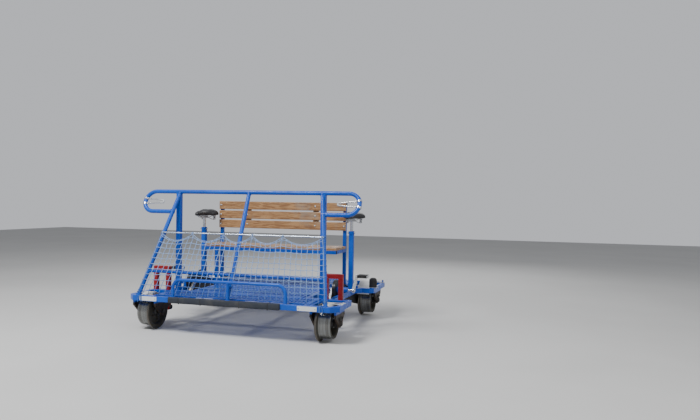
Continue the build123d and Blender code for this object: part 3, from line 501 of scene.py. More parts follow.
def hex_bolt(bm, seat, axis, across, height, washer):
    """Hexagon head with a chamfered crown on a washer, seated at a point and facing along axis."""
    axis, side, _ = three_axes(axis)
    side = Matrix.Rotation(random.uniform(0, pi / 3), 3, axis) @ side
    other = axis.cross(side)
    seat = Vector(seat)
    thick = 0.0017
    lathe(bm, [(0, 0), (washer, 0), (washer, 0.0013), (washer - 0.0005, thick), (0, thick)], seat, axis, 18)
    corner = across / 2 / cos(pi / 6)
    rings = []
    for share, rise in ((1, 0), (1, height * 0.8), (0.86, height)):
        points = round_points(seat + axis * (thick + rise), side, other, corner * share, 6)
        rings.append([bm.verts.new(v) for v in points])
    skin(bm, rings)
    bm.faces.new(rings[-1])


def dome_bolt(bm, seat, axis, radius, height):
    crown = [(radius * cos(a), 0.0006 + height * sin(a)) for a in (0.2, 0.55, 0.9, 1.25)]
    lathe(bm, [(0, 0), (radius, 0), *crown, (0, 0.0006 + height)], seat, axis, 16)


def weld(bm, line, radius=0.003, closed=True):
    """A hand-laid bead: a rippled tube along the joint."""
    line = [Vector(q) for q in line]
    total = sum((b - a).length for a, b in zip(line, line[1:] + line[:1] if closed else line[1:]))
    count = max(12, int(total / 0.0035))
    dense = resample(line, count, closed)
    jitter = [random.uniform(-0.12, 0.12) for _ in dense]
    tube(bm, dense, lambda i: radius * (1 + 0.22 * (i % 2) + jitter[i]), 6, closed)


def resample(line, count, closed):
    pts = line + [line[0]] if closed else list(line)
    lengths = [0.0]
    for a, b in zip(pts, pts[1:]):
        lengths.append(lengths[-1] + (b - a).length)
    out = []
    j = 0
    for i in range(count if closed else count + 1):
        want = lengths[-1] * i / count
        while j < len(pts) - 2 and lengths[j + 1] < want:
            j += 1
        span = lengths[j + 1] - lengths[j]
        t = 0 if span == 0 else (want - lengths[j]) / span
        out.append(pts[j].lerp(pts[j + 1], min(1.0, t)))
    return out


def circle(centre, axis, radius, steps=28):
    return round_points(Vector(centre), *three_axes(axis)[1:], radius, steps)


def cut_circle(centre, along, radius, height):
    """Where a round tube, running along a direction, meets a level plane."""
    along = along.normalized()
    return [q + along * (height - q.z) / along.z for q in circle(centre, along, radius, 32)]


def rectangle(x0, x1, y0, y1, z, corner):
    x0, x1, y0, y1 = x0 + corner, x1 - corner, y0 + corner, y1 - corner
    out = []
    for cx, cy, a0 in ((x1, y1, 0), (x0, y1, 90), (x0, y0, 180), (x1, y0, 270)):
        for a in (0, 30, 60, 90):
            t = radians(a0 + a)
            out.append(Vector((cx + corner * cos(t), cy + corner * sin(t), z)))
    return out


def square(x, y, half, z, corner=0.006):
    return rectangle(x - half, x + half, y - half, y + half, z, corner)


# Camera, light and floor
CAMERA_PLACE = (2.146, -5.06, 1.031)


def make_camera():
    yaw, pitch, roll = 0.275, 0.011, -0.016
    fw = Vector((-sin(yaw) * cos(pitch), cos(yaw) * cos(pitch), -sin(pitch)))
    rt0 = Vector((cos(yaw), sin(yaw), 0))
    dn0 = fw.cross(rt0)
    right = rt0 * cos(roll) + dn0 * sin(roll)
    down = dn0 * cos(roll) - rt0 * sin(roll)
    data = bpy.data.cameras.new("camera")
    data.sensor_width = 36
    data.lens = 623.35 / 700 * 36
    cam = bpy.data.objects.new("camera", data)
    rows = [[right[i], -down[i], -fw[i]] for i in range(3)]
    cam.matrix_world = Matrix.Translation(CAMERA_PLACE) @ Matrix(rows).to_4x4()
    scene.collection.objects.link(cam)
    scene.camera = cam


def area_light(name, place, aim, size, power):
    """A round light aimed at a height over the middle of the floor."""
    data = bpy.data.lights.new(name, "AREA")
    data.shape = "DISK"
    data.size = size
    data.energy = power
    light = bpy.data.objects.new(name, data)
    turn = (Vector((0, 0, aim)) - Vector(place)).to_track_quat("-Z", "Y")
    light.matrix_world = Matrix.Translation(place) @ turn.to_matrix().to_4x4()
    scene.collection.objects.link(light)


make_camera()
area_light("key", (-1.6, -3.4, 5.2), 0.5, 2.0, 360)
area_light("fill", (4.2, -2.6, 3.2), 0.5, 3.5, 70)
area_light("back", (0.5, 4.6, 3.6), 0.6, 3.5, 90)

# The sky is brighter where the camera or a reflection sees it than where it lights the car.
scene.world = bpy.data.worlds.new("studio")
sky = Nodes(scene.world)
rays = sky.new("LightPath").outputs
seen = sky.most(rays["Is Camera Ray"], rays["Is Glossy Ray"])
level = sky.new("MapRange", {"Value": seen, "To Min": 0.28, "To Max": 0.62}).outputs["Result"]
sky.put(sky.tree.nodes["Background"], {"Color": (0.93, 0.95, 1.0, 1), "Strength": level})

floor_mat = Paint("studio_floor")
cloud = floor_mat.ramp(floor_mat.noise(0.7, 3), 0.3, 0.7)
floor_mat.finish(floor_mat.mix(cloud, (0.64, 0.64, 0.63), (0.68, 0.68, 0.67)), 0.85)
bm = bmesh.new()
for corner in ((-14, -14), (14, -14), (14, 14), (-14, 14)):
    bm.verts.new((*corner, -0.0005))
bm.faces.new(bm.verts)
mesh_object("floor", bm, floor_mat.mat)


# Rope net
NET_V0, FIRST_ROW, PITCH = 0.008, 0.082, 0.044
NET_TOP, CELLS, SAG = 0.522, 33, 0.058
TIES = (-1, -0.6, -0.2, 0.16, 0.53, 1)
ROWS = 9
NET_W = TUBE_R + 0.0024
CORD_R = 0.0023
ROD_R = 0.005
ROD_W = TUBE_R + ROD_R


def head(place):
    """Height of the scalloped head rope at a place across the car, from -1 to 1."""
    for left, right in zip(TIES, TIES[1:]):
        if place <= right:
            along = (place - left) / (right - left)
            return NET_TOP - 0.007 - SAG * (1 - (2 * along - 1) ** 2)


def net_knots():
    """Knot places by column: level rows at the foot, the last one drawn up by the head rope."""
    columns = []
    for i in range(CELLS + 1):
        place = -1 + 2 * i / CELLS
        column = []
        for j in range(ROWS + 1):
            v = FIRST_ROW + j * PITCH
            pull = max(0.0, (j - 3) / (ROWS - 3)) ** 2
            v += (head(place) - NET_TOP + SAG * 0.72) * 0.42 * pull
            loose = 0.0 if i in (0, CELLS) else 1.0
            u = place * side_u(v) + loose * random.uniform(-0.0035, 0.0035)
            v += loose * random.uniform(-0.003, 0.003)
            column.append((u, min(v, head(place) - 0.008), NET_W + loose * random.uniform(0, 0.001)))
        columns.append(column)
    return columns


def make_net():
    columns = net_knots()
    bm = bmesh.new()
    for i, column in enumerate(columns):
        place = -1 + 2 * i / CELLS
        top = (place * side_u(head(place)), head(place), NET_W)
        line = [(place * side_u(NET_V0), NET_V0, NET_W), *column, top]
        tube(bm, smooth_line([on_slope(*q) for q in line], 3), CORD_R, 7, uv=True)
    for j in range(ROWS + 1):
        line = []
        for i in range(CELLS + 1):
            u, v, w = columns[i][j]
            line.append(on_slope(u, v, w + 0.0006))
            if i < CELLS:
                u2, v2, w2 = columns[i + 1][j]
                sag = random.uniform(0.001, 0.004)
                line.append(on_slope((u + u2) / 2, (v + v2) / 2 - sag, (w + w2) / 2))
        tube(bm, smooth_line(line, 2), CORD_R, 7, uv=True)
    net = mesh_piece("net_cords", bm, net_cord)
    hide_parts("net")

    bm = bmesh.new()
    for column in columns[1:-1]:
        for u, v, w in column:
            centre = on_slope(u, v, w + 0.0008)
            tilt = random.uniform(0.2, 1.2)
            d1 = (Vector((1, 0, 0)) * cos(tilt) + UP * sin(tilt)).normalized()
            d2 = d1.cross(OUT)
            loop = []
            for a in turn_angles(8):
                wrap = d1 * 0.0036 * cos(a) + d2 * 0.0026 * sin(a)
                loop.append(centre + wrap + OUT * 0.0012 * sin(2 * a))
            tube(bm, loop, 0.0017, 5, closed=True, uv=True)
    mesh_piece("net_knots", bm, net_cord)


def ring_round(centre, axis_a, axis_b, radius, slant):
    """A turn of cord round a bar: two radius directions and a slant along the bar."""
    return [centre + axis_a * radius * cos(a) + axis_b * radius * sin(a) + slant * cos(a)
            for a in turn_angles(20)]


def head_rope():
    """Head rope in scallops, and its ties round the rod with their loose tails."""
    bm = bmesh.new()
    for left, right in zip(TIES, TIES[1:]):
        line = []
        for k in range(13):
            place = left + (right - left) * k / 12
            line.append(on_slope(place * side_u(NET_TOP), head(min(place, right)), NET_W + 0.001))
        tube(bm, line, 0.0024, 8, uv=True)
    for k, place in enumerate(TIES):
        u0 = place * side_u(NET_TOP)
        u0 -= copysign(0.006, u0) if abs(place) == 1 else 0
        for turn in range(3):
            loop = []
            for a in turn_angles(14):
                out = ROD_R + 0.0021
                u = u0 + (turn - 1) * 0.0046 + 0.0015 * sin(a)
                loop.append(on_slope(u, NET_TOP + out * sin(a), ROD_W + out * cos(a)))
            tube(bm, loop, CORD_R, 6, closed=True, uv=True)
        drop = 0.04 + 0.012 * (k % 3)
        tail = [
            (u0, NET_TOP - 0.007, ROD_W + 0.007),
            (u0 + 0.006, NET_TOP - 0.022, ROD_W + 0.009),
            (u0 + 0.012 + 0.004 * (k % 2), NET_TOP - drop, ROD_W + 0.004),
        ]
        tube(bm, smooth_line([on_slope(*q) for q in tail], 4), 0.0018, 6, uv=True)
    mesh_piece("net_ropes", bm, net_cord)


def lashings():
    """Cord round the side tubes, crossed at the rod, and round the front beam at its corners."""
    bm = bmesh.new()
    for s in (-1, 1):
        lean = (on_slope(s * side_u(0.5), 0.5) - on_slope(s * side_u(0.0), 0.0)).normalized()
        across = lean.cross(OUT).normalized()
        for j in range(ROWS + 1):
            v = FIRST_ROW + j * PITCH
            tilt = 0.0035 if j % 2 else -0.002
            centre = on_slope(s * side_u(v), v)
            turn = ring_round(centre, across, OUT, TUBE_R + 0.0018, lean * tilt)
            tube(bm, turn, 0.0018, 6, closed=True, uv=True)
        for v, rise in ((NET_TOP, 0.010), (0.030, 0.011)):
            for way in (-1, 1):
                centre = on_slope(s * side_u(v), v)
                turn = ring_round(centre, across, OUT, TUBE_R + 0.0026, lean * way * rise)
                tube(bm, turn, 0.0021, 6, closed=True, uv=True)
        # turns round the beam, with one end hanging
        for k, x in enumerate((0.730, 0.7345, 0.739)):
            beam_turn(bm, s * x, 0.002 * (k - 1))
        end = [
            (s * 0.7345, FOOT_Y - 0.004, FRAME_TOP + 0.003),
            (s * 0.745, FRONT_Y - 0.003, FRAME_TOP + 0.002),
            (s * 0.757, FRONT_Y - 0.005, FRAME_TOP - 0.020),
            (s * 0.761, FRONT_Y - 0.004, FRAME_TOP - 0.052),
        ]
        tube(bm, smooth_line(end, 5), CORD_R, 6, uv=True)
    mesh_piece("net_lashings", bm, lash_cord)


def beam_turn(bm, x, slant):
    """One turn of cord round the front beam."""
    clear = CORD_R + 0.0002
    y0, y1 = FRONT_Y - clear, FRONT_Y + BEAM + clear
    z0, z1 = FRAME_LOW - clear, FRAME_TOP + clear
    corners = rectangle(y0, y1, z0, z1, 0, 0.006)
    loop = [(x + slant * (q.x - FOOT_Y) / BEAM * 2, q.x, q.y) for q in corners]
    tube(bm, loop, CORD_R, 6, closed=True, uv=True)


make_net()
head_rope()
lashings()


# Bumper strip: foam pressed on the front beam, drawn in by its straps
STRIP_X0, STRIP_X1 = (c.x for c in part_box("bumper_sleeve"))
STRAPS = (-0.40, -0.215, 0.105, 0.335)
LIP = 0.0115  # how far the strip's edges reach back over the beam


def strip_profile(x):
    """Closed outline of the strip in Y and Z at a place along it."""
    pinch = sum(exp(-((x - strap) / 0.006) ** 2) for strap in STRAPS)
    wave = 0.0006 * sin(31 * x) + 0.0004 * sin(83 * x + 1)
    near_end = min(x - STRIP_X0, STRIP_X1 - x)
    tuck = 0.006 * max(0.0, 1 - near_end / 0.006) ** 2
    proud = 0.0158 - 0.0022 * pinch + wave - tuck
    rise = 0.0238 - 0.0008 * pinch - tuck * 0.4
    top_lip = 0.0 if min(abs(x + HOOP_X), abs(x)) < 0.019 else LIP
    mid = FRAME_TOP - BEAM / 2
    points = [(FRONT_Y + top_lip, mid + rise)]
    for k in range(13):
        a = pi / 2 - pi * k / 12
        y = FRONT_Y - 0.0025 - (proud - 0.0025) * cos(a)
        edge = copysign(rise - 0.0105, sin(a)) * min(1, abs(3 * sin(a)))
        points.append((y, mid + 0.0105 * sin(a) + edge))
    inside = 0.02125
    points += [(FRONT_Y + LIP, mid - rise), (FRONT_Y + LIP, mid - inside)]
    points += [(FRONT_Y - 0.0003, mid - inside), (FRONT_Y - 0.0003, mid + inside)]
    points.append((FRONT_Y + top_lip, mid + inside))
    return points


def bumper():
    bm = bmesh.new()
    rings = []
    count = 150
    for i in range(count + 1):
        x = STRIP_X0 + (STRIP_X1 - STRIP_X0) * i / count
        rings.append([bm.verts.new((x, y, z)) for y, z in strip_profile(x)])
    skin(bm, rings)
    bm.faces.new(rings[0])
    bm.faces.new(list(reversed(rings[-1])))
    bmesh.ops.recalc_face_normals(bm, faces=bm.faces)
    strip = mesh_piece("bumper_strip", bm, sleeve_foam)
    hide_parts("bumper_sleeve")
    bm = bmesh.new()
    lip, back = FRONT_Y + LIP, FRONT_Y + BEAM + 0.001
    for strap in STRAPS:
        round_beam = [(lip, FRAME_LOW - 0.004), (back, FRAME_LOW - 0.001)]
        round_beam += [(back, FRAME_TOP + 0.001), (lip, FRAME_TOP + 0.004)]
        line = [Vector((strap, y, z)) for y, z in strip_profile(strap)[1:14] + round_beam]
        flat_band(bm, line, 0.0045, 0.0009)
        block(bm, (strap, FRONT_Y - 0.008, FRAME_LOW - 0.0035), (0.0065, 0.007, 0.005), 0.001)
    mesh_piece("bumper_straps", bm, black_rubber)


def flat_band(bm, line, width, thick):
    """A closed flat strap in the YZ plane: the line lies on its inner face."""
    n = len(line)
    inside = sum(line, Vector()) / n
    half = Vector((width / 2, 0, 0))
    rings = []
    for i in range(n):
        along = (line[(i + 1) % n] - line[i - 1]).normalized()
        out = along.cross(half).normalized()
        if out.dot(line[i] - inside) < 0:
            out = -out
        outer = out * thick
        rings.append([bm.verts.new(line[i] + d) for d in (-half, half, half + outer, -half + outer)])
    skin(bm, rings, looped=True)


def block(bm, centre, size, bevel):
    """A box with chamfered edges."""
    verts = bmesh.ops.create_cube(bm, size=1.0)["verts"]
    for vert in verts:
        vert.co = [c + share * side for c, share, side in zip(centre, vert.co, size)]
    edges = {e for vert in verts for e in vert.link_edges}
    bmesh.ops.bevel(bm, geom=list(edges), offset=bevel, segments=2, profile=0.7, affect="EDGES")


bumper()


# Saddles: padded covers on a pressed base, on two rails
SADDLE_LOW, SADDLE_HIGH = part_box("saddle_right")
SADDLE_BASE = SADDLE_LOW.z
SADDLE_START = SADDLE_LOW.y + 0.001
SADDLE_LENGTH = SADDLE_HIGH.y - SADDLE_LOW.y - 0.002
# share of the length from the nose, half width, height of the crown
SADDLE_FORM = (
    (0.0, 0.010, 0.024),
    (0.035, 0.019, 0.035),
    (0.22, 0.031, 0.046),
    (0.42, 0.040, 0.049),
    (0.58, 0.060, 0.053),
    (0.74, 0.092, 0.060),
    (0.86, 0.1015, 0.0615),
    (0.95, 0.090, 0.055),
    (1.0, 0.066, 0.034),
)


def saddle_form(t):
    """Half width and crown at a share of the length, by a Catmull-Rom curve through the rows."""
    last = len(SADDLE_FORM) - 1
    i = max(k for k in range(last) if SADDLE_FORM[k][0] <= t or k == 0)
    p0, p1, p2, p3 = (SADDLE_FORM[min(max(k, 0), last)] for k in range(i - 1, i + 3))
    share = (t - p1[0]) / (p2[0] - p1[0])
    return [between(*row, share) for row in zip(p0[1:], p1[1:], p2[1:], p3[1:])]


def saddle_ring(t):
    """One cross-section: crowned top with a channel, rolled sides and a flat underside."""
    half, crown = saddle_form(t)
    ring = []
    for a in turn_angles(36):
        across = copysign(abs(cos(a)) ** 0.8, cos(a))
        x = half * across
        if sin(a) >= 0:
            z = 0.016 + (crown - 0.016) * abs(sin(a)) ** 0.85
            ends = max(0.0, min(1.0, (t - 0.12) * 4)) * max(0.0, min(1.0, (0.93 - t) * 6))
            z -= 0.005 * exp(-(x / 0.011) ** 2) * ends
        else:
            z = 0.016 - 0.014 * min(1.0, abs(sin(a)) ** 0.5)
            x *= 1 - 0.10 * abs(sin(a))
        ring.append((x, z))
    return ring


def make_saddle(side):
    post_x = SIDES[side] * MEMBER_X

    def at(t):
        return SADDLE_START + SADDLE_LENGTH * t

    def place(x, y, z):
        return Vector((post_x + x, y, SADDLE_BASE + z))

    bm = bmesh.new()
    rings = []
    count = 44
    for i in range(count + 1):
        rings.append([bm.verts.new(place(x, at(i / count), z)) for x, z in saddle_ring(i / count)])
    skin(bm, rings)
    for ring, bulge in ((rings[0], -0.0009), (rings[-1], 0.0009)):
        centre = sum((vert.co for vert in ring), Vector()) / len(ring)
        tip = bm.verts.new(centre + Vector((0, bulge, 0)))
        for k in range(len(ring)):
            bm.faces.new((tip, ring[k], ring[(k + 1) % len(ring)]))
    bmesh.ops.recalc_face_normals(bm, faces=bm.faces)
    cover = mesh_piece(f"saddle_cover_{side}", bm, saddle_vinyl)
    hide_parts(f"saddle_{side}")

    # piping round the lower edge and the seams of the top panels
    bm = bmesh.new()
    outline = []
    for way in (1, -1):
        for k in range(31)[::way]:
            half, _ = saddle_form(k / 30)
            outline.append(place(way * half * 0.995, at(k / 30), 0.0155))
    tube(bm, outline, 0.0021, 7, closed=True)
    mesh_piece(f"saddle_piping_{side}", bm, saddle_piping)
    bm = bmesh.new()
    for way in (-1, 1):
        t = 0.14
        while t < 0.90:
            dash = []
            for step in (0, 0.5, 1):
                u = t + 0.011 * step
                half, crown = saddle_form(u)
                x = way * min(0.56 * half, 0.02 + 0.25 * half)
                rise = sqrt(max(0.0, 1 - (abs(x) / half) ** 2.5)) ** 0.85
                z = 0.016 + (crown - 0.016) * rise
                dash.append(place(x, at(u), z + (0.0006 if step == 0.5 else -0.0002)))
            tube(bm, dash, 0.0007, 5)
            t += 0.0185
    mesh_piece(f"saddle_stitches_{side}", bm, thread)

    # steel rails under the base, clamped on the pin's head block
    bm = bmesh.new()
    head_y = middle(f"seat_pin_{side}").y
    for way in (-1, 1):
        rail = [(0.006, SADDLE_LOW.y + 0.030, 0.003), (0.014, SADDLE_LOW.y + 0.055, -0.004)]
        rail += [(0.024, head_y - 0.05, -0.0125), (0.025, head_y - 0.02, -0.0135)]
        rail += [(0.025, head_y + 0.03, -0.0135), (0.030, head_y + 0.055, -0.008)]
        rail.append((0.044, head_y + 0.085, 0.003))
        tube(bm, smooth_line([place(way * x, y, z) for x, y, z in rail], 5), 0.0035, 8)
        coil(bm, place(way * 0.062, head_y + 0.072, -0.034), 0.012, 0.036, 5, 0.0022)
        arm = ((0.025, 0.028, -0.016), (0.045, 0.050, -0.030), (0.062, 0.072, -0.035))
        tube(bm, smooth_line([place(way * x, head_y + y, z) for x, y, z in arm], 4), 0.0035, 8)
    block(bm, place(0, head_y, -0.0135), (0.062, 0.020, 0.013), 0.002)
    for way in (-1, 1):
        hex_bolt(bm, place(way * 0.031, head_y, -0.0135), (way, 0, 0), 0.010, 0.005, 0.0085)
    mesh_piece(f"saddle_rails_{side}", bm, zinc)


def coil(bm, foot, radius, height, turns, wire):
    line = []
    for k in range(turns * 14 + 1):
        a = 2 * pi * k / 14
        line.append(foot + Vector((radius * cos(a), radius * sin(a), height * k / (turns * 14))))
    tube(bm, line, wire, 6)


for side in SIDES:
    make_saddle(side)


# Wheels: six bolts and nuts through each web, a collar outside the hub
BOLT_RING, WEB_IN, WEB_OUT, HUB_END = 0.066, 0.6988, 0.7272, 0.7962


def wheel_details(name, body, side, axle_y):
    s = SIDES[side]
    bm = bmesh.new()
    for k in range(6):
        a = radians(60 * k + 30)
        y, z = axle_y + BOLT_RING * cos(a), AXLE_Z + BOLT_RING * sin(a)
        hex_bolt(bm, (s * WEB_OUT, y, z), (s, 0, 0), 0.015, 0.008, 0.0125)
        hex_bolt(bm, (s * WEB_IN, y, z), (-s, 0, 0), 0.015, 0.009, 0.0115)
    collar = [(0.0178, 0), (0.027, 0), (0.0285, 0.0015), (0.0285, 0.0185), (0.026, 0.021), (0.0178, 0.021)]
    lathe(bm, collar, (s * HUB_END, axle_y, AXLE_Z), (s, 0, 0), 32)
    dome_bolt(bm, (s * 0.8065, axle_y, AXLE_Z + 0.0284), UPWARD, 0.004, 0.0025)
    mesh_piece(name, bm, cast_iron, body)


for side in SIDES:
    wheel_details(f"hub_bolts_front_{side}", f"front_wheel_{side}", side, AXLE_Y["front"])
    wheel_details(f"hub_bolts_rear_{side}", "rear_wheelset", side, AXLE_Y["rear"])


# Keeper plates and grease caps on the pedestals, at the axle ends
PLATE_FACE, PLATE_HALF, KEEPER_RISE = 0.844, 0.104, 0.036


def axle_caps():
    cap = [(0.0245, 0.0), (0.0245, 0.003), (0.0205, 0.0035), (0.0205, 0.011), (0.017, 0.0145), (0.0, 0.0165)]
    bm, plates = bmesh.new(), bmesh.new()
    for s in SIDES.values():
        for axle_y in AXLE_Y.values():
            face = Vector((s * PLATE_FACE, axle_y, AXLE_Z))
            lathe(bm, cap, face, (s, 0, 0), 32)
            block(plates, face + Vector((s * 0.002, 0, KEEPER_RISE)), (0.004, 0.085, 0.026), 0.001)
            for end in (-1, 1):
                seat = face + Vector((s * 0.004, end * 0.030, KEEPER_RISE))
                hex_bolt(bm, seat, (s, 0, 0), 0.013, 0.006, 0.011)
    mesh_piece("axle_caps", bm, cast_iron)
    mesh_piece("axle_keepers", plates, cast_iron)


axle_caps()


# Bolts and screws
BATTEN_X, SEAT_BOLT_X = 0.33, 0.575
BENCH_LEG_X, BENCH_POST_X, BENCH_HALF = 0.5, 0.6, 0.015
BENCH_LEG_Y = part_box("bench_frame")[0].y + BENCH_HALF
BENCH_POST_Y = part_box("bench_frame")[1].y - BENCH_HALF


def bench_bolts():
    bm = bmesh.new()
    for i in range(4):
        y = BENCH_LOW.y + SEAT_SLAT / 2 + (SEAT_SLAT + SLAT_GAP) * i
        for x in (-SEAT_BOLT_X, -BATTEN_X, BATTEN_X, SEAT_BOLT_X):
            dome_bolt(bm, (x, y, BENCH_HIGH.z), UPWARD, 0.0085, 0.0035)
    for i in range(3):
        z = BACK_HIGH.z - BACK_SLAT / 2 - (BACK_SLAT + SLAT_GAP) * i
        for x in (-BENCH_POST_X, -BATTEN_X, BATTEN_X, BENCH_POST_X):
            dome_bolt(bm, (x, BACK_LOW.y, z), (0, -1, 0), 0.0085, 0.0035)
    mesh_piece("bench_bolts", bm, zinc)


def deck_screws():
    bm = bmesh.new()
    for node in ("floor_front", "floor_main", "floor_rear"):
        lo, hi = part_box(node)
        for y in (lo.y + 0.014, hi.y - 0.014):
            for k in range(7):
                x = lo.x + 0.016 + (hi.x - lo.x - 0.032) * k / 6
                if abs(x) >= 0.03:
                    dome_bolt(bm, (x, y, hi.z), UPWARD, 0.0055, 0.002)
    mesh_piece("deck_screws", bm, deck_paint)


def frame_bolts():
    guard_x, guard_foot = 0.855, 0.004
    bearing_half, bearing_foot = 0.0465, 0.014
    holder_back = 0.0352
    bm = bmesh.new()
    for side, s in SIDES.items():
        lo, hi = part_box(f"front_plate_{side}")
        for x in (lo.x + 0.012, hi.x - 0.012):
            dome_bolt(bm, (x, lo.y, (lo.z + hi.z) / 2), (0, -1, 0), 0.0048, 0.002)
        for end, reach in (("front", 0.03), ("rear", 0.114)):
            for way in (-1, 1):
                seat = (s * guard_x, AXLE_Y[end] + way * reach, FRAME_TOP + guard_foot)
                hex_bolt(bm, seat, UPWARD, 0.010, 0.0045, 0.009)
        bearing = middle(f"axle_bearing_{side}")
        for way in (-1, 1):
            seat = (bearing.x, bearing.y + way * bearing_half, FRAME_LOW - bearing_foot)
            hex_bolt(bm, seat, -UPWARD, 0.011, 0.007, 0.0064)
        lo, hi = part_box(f"saddle_post_{side}")
        for way in (1, -1):
            seat = (s * (MEMBER_X + way * 0.025), lo.y + 0.02, hi.z - 0.014)
            hex_bolt(bm, seat, (s * way, 0, 0), 0.013, 0.007, 0.009)
        lo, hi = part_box(f"brake_shoe_{side}")
        for x in (lo.x + 0.016, hi.x - 0.016):
            hex_bolt(bm, (x, hi.y + holder_back, (lo.z + hi.z) / 2), (0, 1, 0), 0.011, 0.005, 0.009)
    mesh_piece("frame_bolts", bm, zinc)


def case_outline(front_r, rear_r):
    """Outline in the YZ plane round a circle at the cranks and one at the rear axle."""
    circles = ((CRANK_Y, CRANK_Z, front_r), (AXLE_Y["rear"], AXLE_Z, rear_r))
    out = []
    for a in turn_angles(72):
        n = Vector((0, cos(a), sin(a)))
        y, z, r = max(circles, key=lambda c: c[0] * n.y + c[1] * n.z + c[2])
        out.append(Vector((0, y, z)) + n * r)
    return out


def chain_cases():
    """Folded seam round each case and the screws of its inner face."""
    seam, screws = bmesh.new(), bmesh.new()
    for side, s in SIDES.items():
        lo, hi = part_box(f"chain_case_{side}")
        inner = lo.x if s > 0 else hi.x
        mid = Vector(((lo.x + hi.x) / 2, 0, 0))
        outline = [q + mid for q in case_outline(0.0782, 0.0482)]
        tube(seam, resample(outline, 160, True), 0.0019, 6, closed=True)
        for q in resample(case_outline(0.068, 0.038), 12, True):
            dome_bolt(screws, (inner, q.y, q.z), (-s, 0, 0), 0.005, 0.0022)
    mesh_piece("case_seams", seam, case_paint)
    mesh_piece("case_screws", screws, zinc)


def crank_details():
    """Cotter bolts on the crank bosses, nuts on the pedal spindles and steel pedal ends."""
    arm_in, arm_out, arm_t, crank = 0.624, 0.8, 0.016, 0.15
    boss_r, spindle, slant = 0.0175, 0.088, radians(45)
    for side, s in SIDES.items():
        bm = bmesh.new()
        for arm, way in ((arm_in, -1), (arm_out, 1)):
            face = s * (arm + arm_t / 2 + way * arm_t / 2)
            centre = Vector((face, CRANK_Y, CRANK_Z))
            hex_bolt(bm, centre, (s * way, 0, 0), 0.017, 0.007, 0.0125)
            swing = Vector((0, way * cos(slant), way * sin(slant)))
            side_dir = Vector((1, 0, 0)).cross(swing)
            seat = Vector((s * (arm + arm_t / 2), CRANK_Y, CRANK_Z)) + side_dir * boss_r
            dome_bolt(bm, seat, side_dir, 0.0052, 0.004)
            end = Vector((face + s * way * spindle, CRANK_Y, CRANK_Z)) + swing * crank
            lathe(bm, [(0.0088, 0), (0.0088, 0.004), (0.006, 0.0065), (0, 0.007)], end, (s * way, 0, 0), 18)
        mesh_piece(f"crank_caps_{side}", bm, bright_steel, f"crank_{side}")
        for place in ("inner", "outer"):
            name = f"pedal_{place}_{side}"
            lo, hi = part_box(name)
            centre = middle(name)
            bm = bmesh.new()
            for x, way in ((lo.x, -1), (hi.x, 1)):
                block(bm, (x + way * 0.0008, centre.y, centre.z), (0.0016, 0.082, 0.0185), 0.0005)
                for dy in (-0.032, 0.032):
                    dome_bolt(bm, (x + way * 0.0016, centre.y + dy, centre.z), (way, 0, 0), 0.0042, 0.0018)
            mesh_piece(f"pedal_ends_{place}_{side}", bm, zinc, name)


bench_bolts()
deck_screws()
frame_bolts()
chain_cases()
crank_details()


# Welds
SHELL_EDGES = (0.6846, 0.7254)


def weld_lines():
    bm = bmesh.new()
    foot_z = FRAME_TOP + 0.0006
    top = SLOPE - BAR_R - 0.001
    post_half, hoop_r, hoop_top, mid_bar = 0.0206, 0.0134, FRAME_TOP + 0.1242, 0.2
    post_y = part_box("saddle_post_right")[0].y + 0.02
    half = BENCH_HALF + 0.0005
    for s in SIDES.values():
        foot = on_slope(s * side_u(0), 0)
        lean = (on_slope(s * side_u(SLOPE), SLOPE) - foot).normalized()
        weld(bm, cut_circle(foot, lean, TUBE_R + 0.0008, foot_z), 0.0032)
        weld(bm, circle((s * HOOP_X, HOOP_Y, foot_z), UPWARD, hoop_r), 0.0026)
        weld(bm, square(s * POST_X, BAR.y, post_half, foot_z))
        weld(bm, square(s * MEMBER_X, post_y, post_half, foot_z))
        weld(bm, square(s * BENCH_LEG_X, BENCH_LEG_Y, half, foot_z, 0.005), 0.0026)
        weld(bm, square(s * BENCH_POST_X, BENCH_POST_Y, half, foot_z + 0.02, 0.005), 0.0026)
        weld(bm, circle(on_slope(s * (side_u(mid_bar) - TUBE_R * 0.93), mid_bar), (1, 0, 0), 0.0128), 0.0026)
        loop_end = s * (side_u(LOOP_LOW) + TUBE_R * 0.95)
        weld(bm, circle(on_slope(loop_end, LOOP_LOW), (1, 0, 0), BAR_R + 0.0006), 0.003)
        weld(bm, circle(on_slope(s * side_u(top), top), lean, TUBE_R + 0.0004), 0.0028)
        plate_x = s * (PLATE_FACE + 0.0006)
        for axle_y in AXLE_Y.values():
            ends = (axle_y - PLATE_HALF, axle_y + PLATE_HALF)
            weld(bm, [(plate_x, y, FRAME_LOW - 0.0008) for y in ends], 0.0034, closed=False)
        for x in SHELL_EDGES:
            line = [(s * x, CRANK_Y + dy, FRAME_TOP + 0.001) for dy in (-0.022, 0.022)]
            weld(bm, line, 0.0028, closed=False)
        weld(bm, [(x, REAR_Y + 0.0008, FRAME_LOW + 0.0285) for x in (s * 0.045, 0.0)], 0.0028, closed=False)
    weld(bm, cut_circle(on_slope(0, 0), UP, TUBE_R + 0.0008, foot_z), 0.0032)
    weld(bm, circle((0, HOOP_Y, foot_z), UPWARD, hoop_r), 0.0026)
    weld(bm, circle((0, HOOP_Y, hoop_top), UPWARD, 0.0132), 0.0024)
    weld(bm, circle(on_slope(0, top), UP, TUBE_R + 0.0004), 0.0028)
    mesh_piece("weld_beads", bm, weld_bead)


weld_lines()


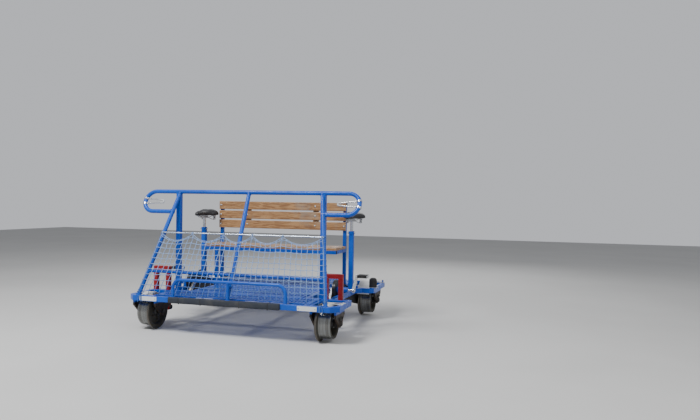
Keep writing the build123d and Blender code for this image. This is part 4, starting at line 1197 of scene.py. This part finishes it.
def lever_details():
    """Pale caps on the lever bows and bolts through their clamps."""
    caps, bolts = bmesh.new(), bmesh.new()
    mid_v = LOOP_LOW + LOOP_R
    bow_u, clamp_u, clamp_v = 0.168, 0.021, 0.025
    lever_x = LOOP_X + sqrt(LOOP_R ** 2 - clamp_v ** 2)
    half = ((0.030, 0.0118), (0.004, 0.0098), (-0.0005, 0.006))
    bow = [*half, *((du, -dv) for du, dv in reversed(half))]
    for s in SIDES.values():
        tip = s * (lever_x - bow_u)
        line = [on_slope(tip + s * du, mid_v + dv) for du, dv in bow]
        tube(caps, smooth_line(line, 5), 0.0068, 10)
        for way in (-1, 1):
            seat = on_slope(s * (lever_x - clamp_u), mid_v + way * clamp_v)
            hex_bolt(bolts, seat + OUT * 0.0035, OUT, 0.009, 0.004, 0.0055)
    mesh_piece("lever_caps", caps, lever_cap)
    mesh_piece("lever_bolts", bolts, zinc)


def bushes_and_rings():
    """Bushes on the inner brake legs, plugs in the bench tube ends and rings at the buffers' feet."""
    bush_z = 0.142
    bm = bmesh.new()
    for side, s in SIDES.items():
        lo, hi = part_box(f"brake_frame_{side}")
        inner = lo.x if s > 0 else hi.x
        bush = [(0, 0), (0.017, 0), (0.0185, 0.0015), (0.0185, 0.010), (0.016, 0.012), (0, 0.012)]
        lathe(bm, bush, (inner, (lo.y + hi.y) / 2, bush_z), (-s, 0, 0), 24)
        for y, z in ((BENCH_POST_Y, BACK_HIGH.z - BENCH_HALF), (BENCH_LEG_Y, BENCH_LOW.z + 0.003)):
            block(bm, (s * (BENCH_POST_X + BENCH_HALF + 0.0008), y, z), (0.0018, 0.0275, 0.0275), 0.0006)
    mesh_piece("black_bushes", bm, black_rubber)
    bm = bmesh.new()
    for side in SIDES:
        centre = middle(f"buffer_{side}")
        centre.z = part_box(f"buffer_{side}")[0].z
        ring = [(0.0352, 0), (0.0395, 0), (0.0395, 0.0028), (0.0385, 0.0036), (0.0352, 0.0036)]
        lathe(bm, ring, centre, UPWARD, 40)
    mesh_piece("buffer_rings", bm, zinc)


lever_details()
bushes_and_rings()
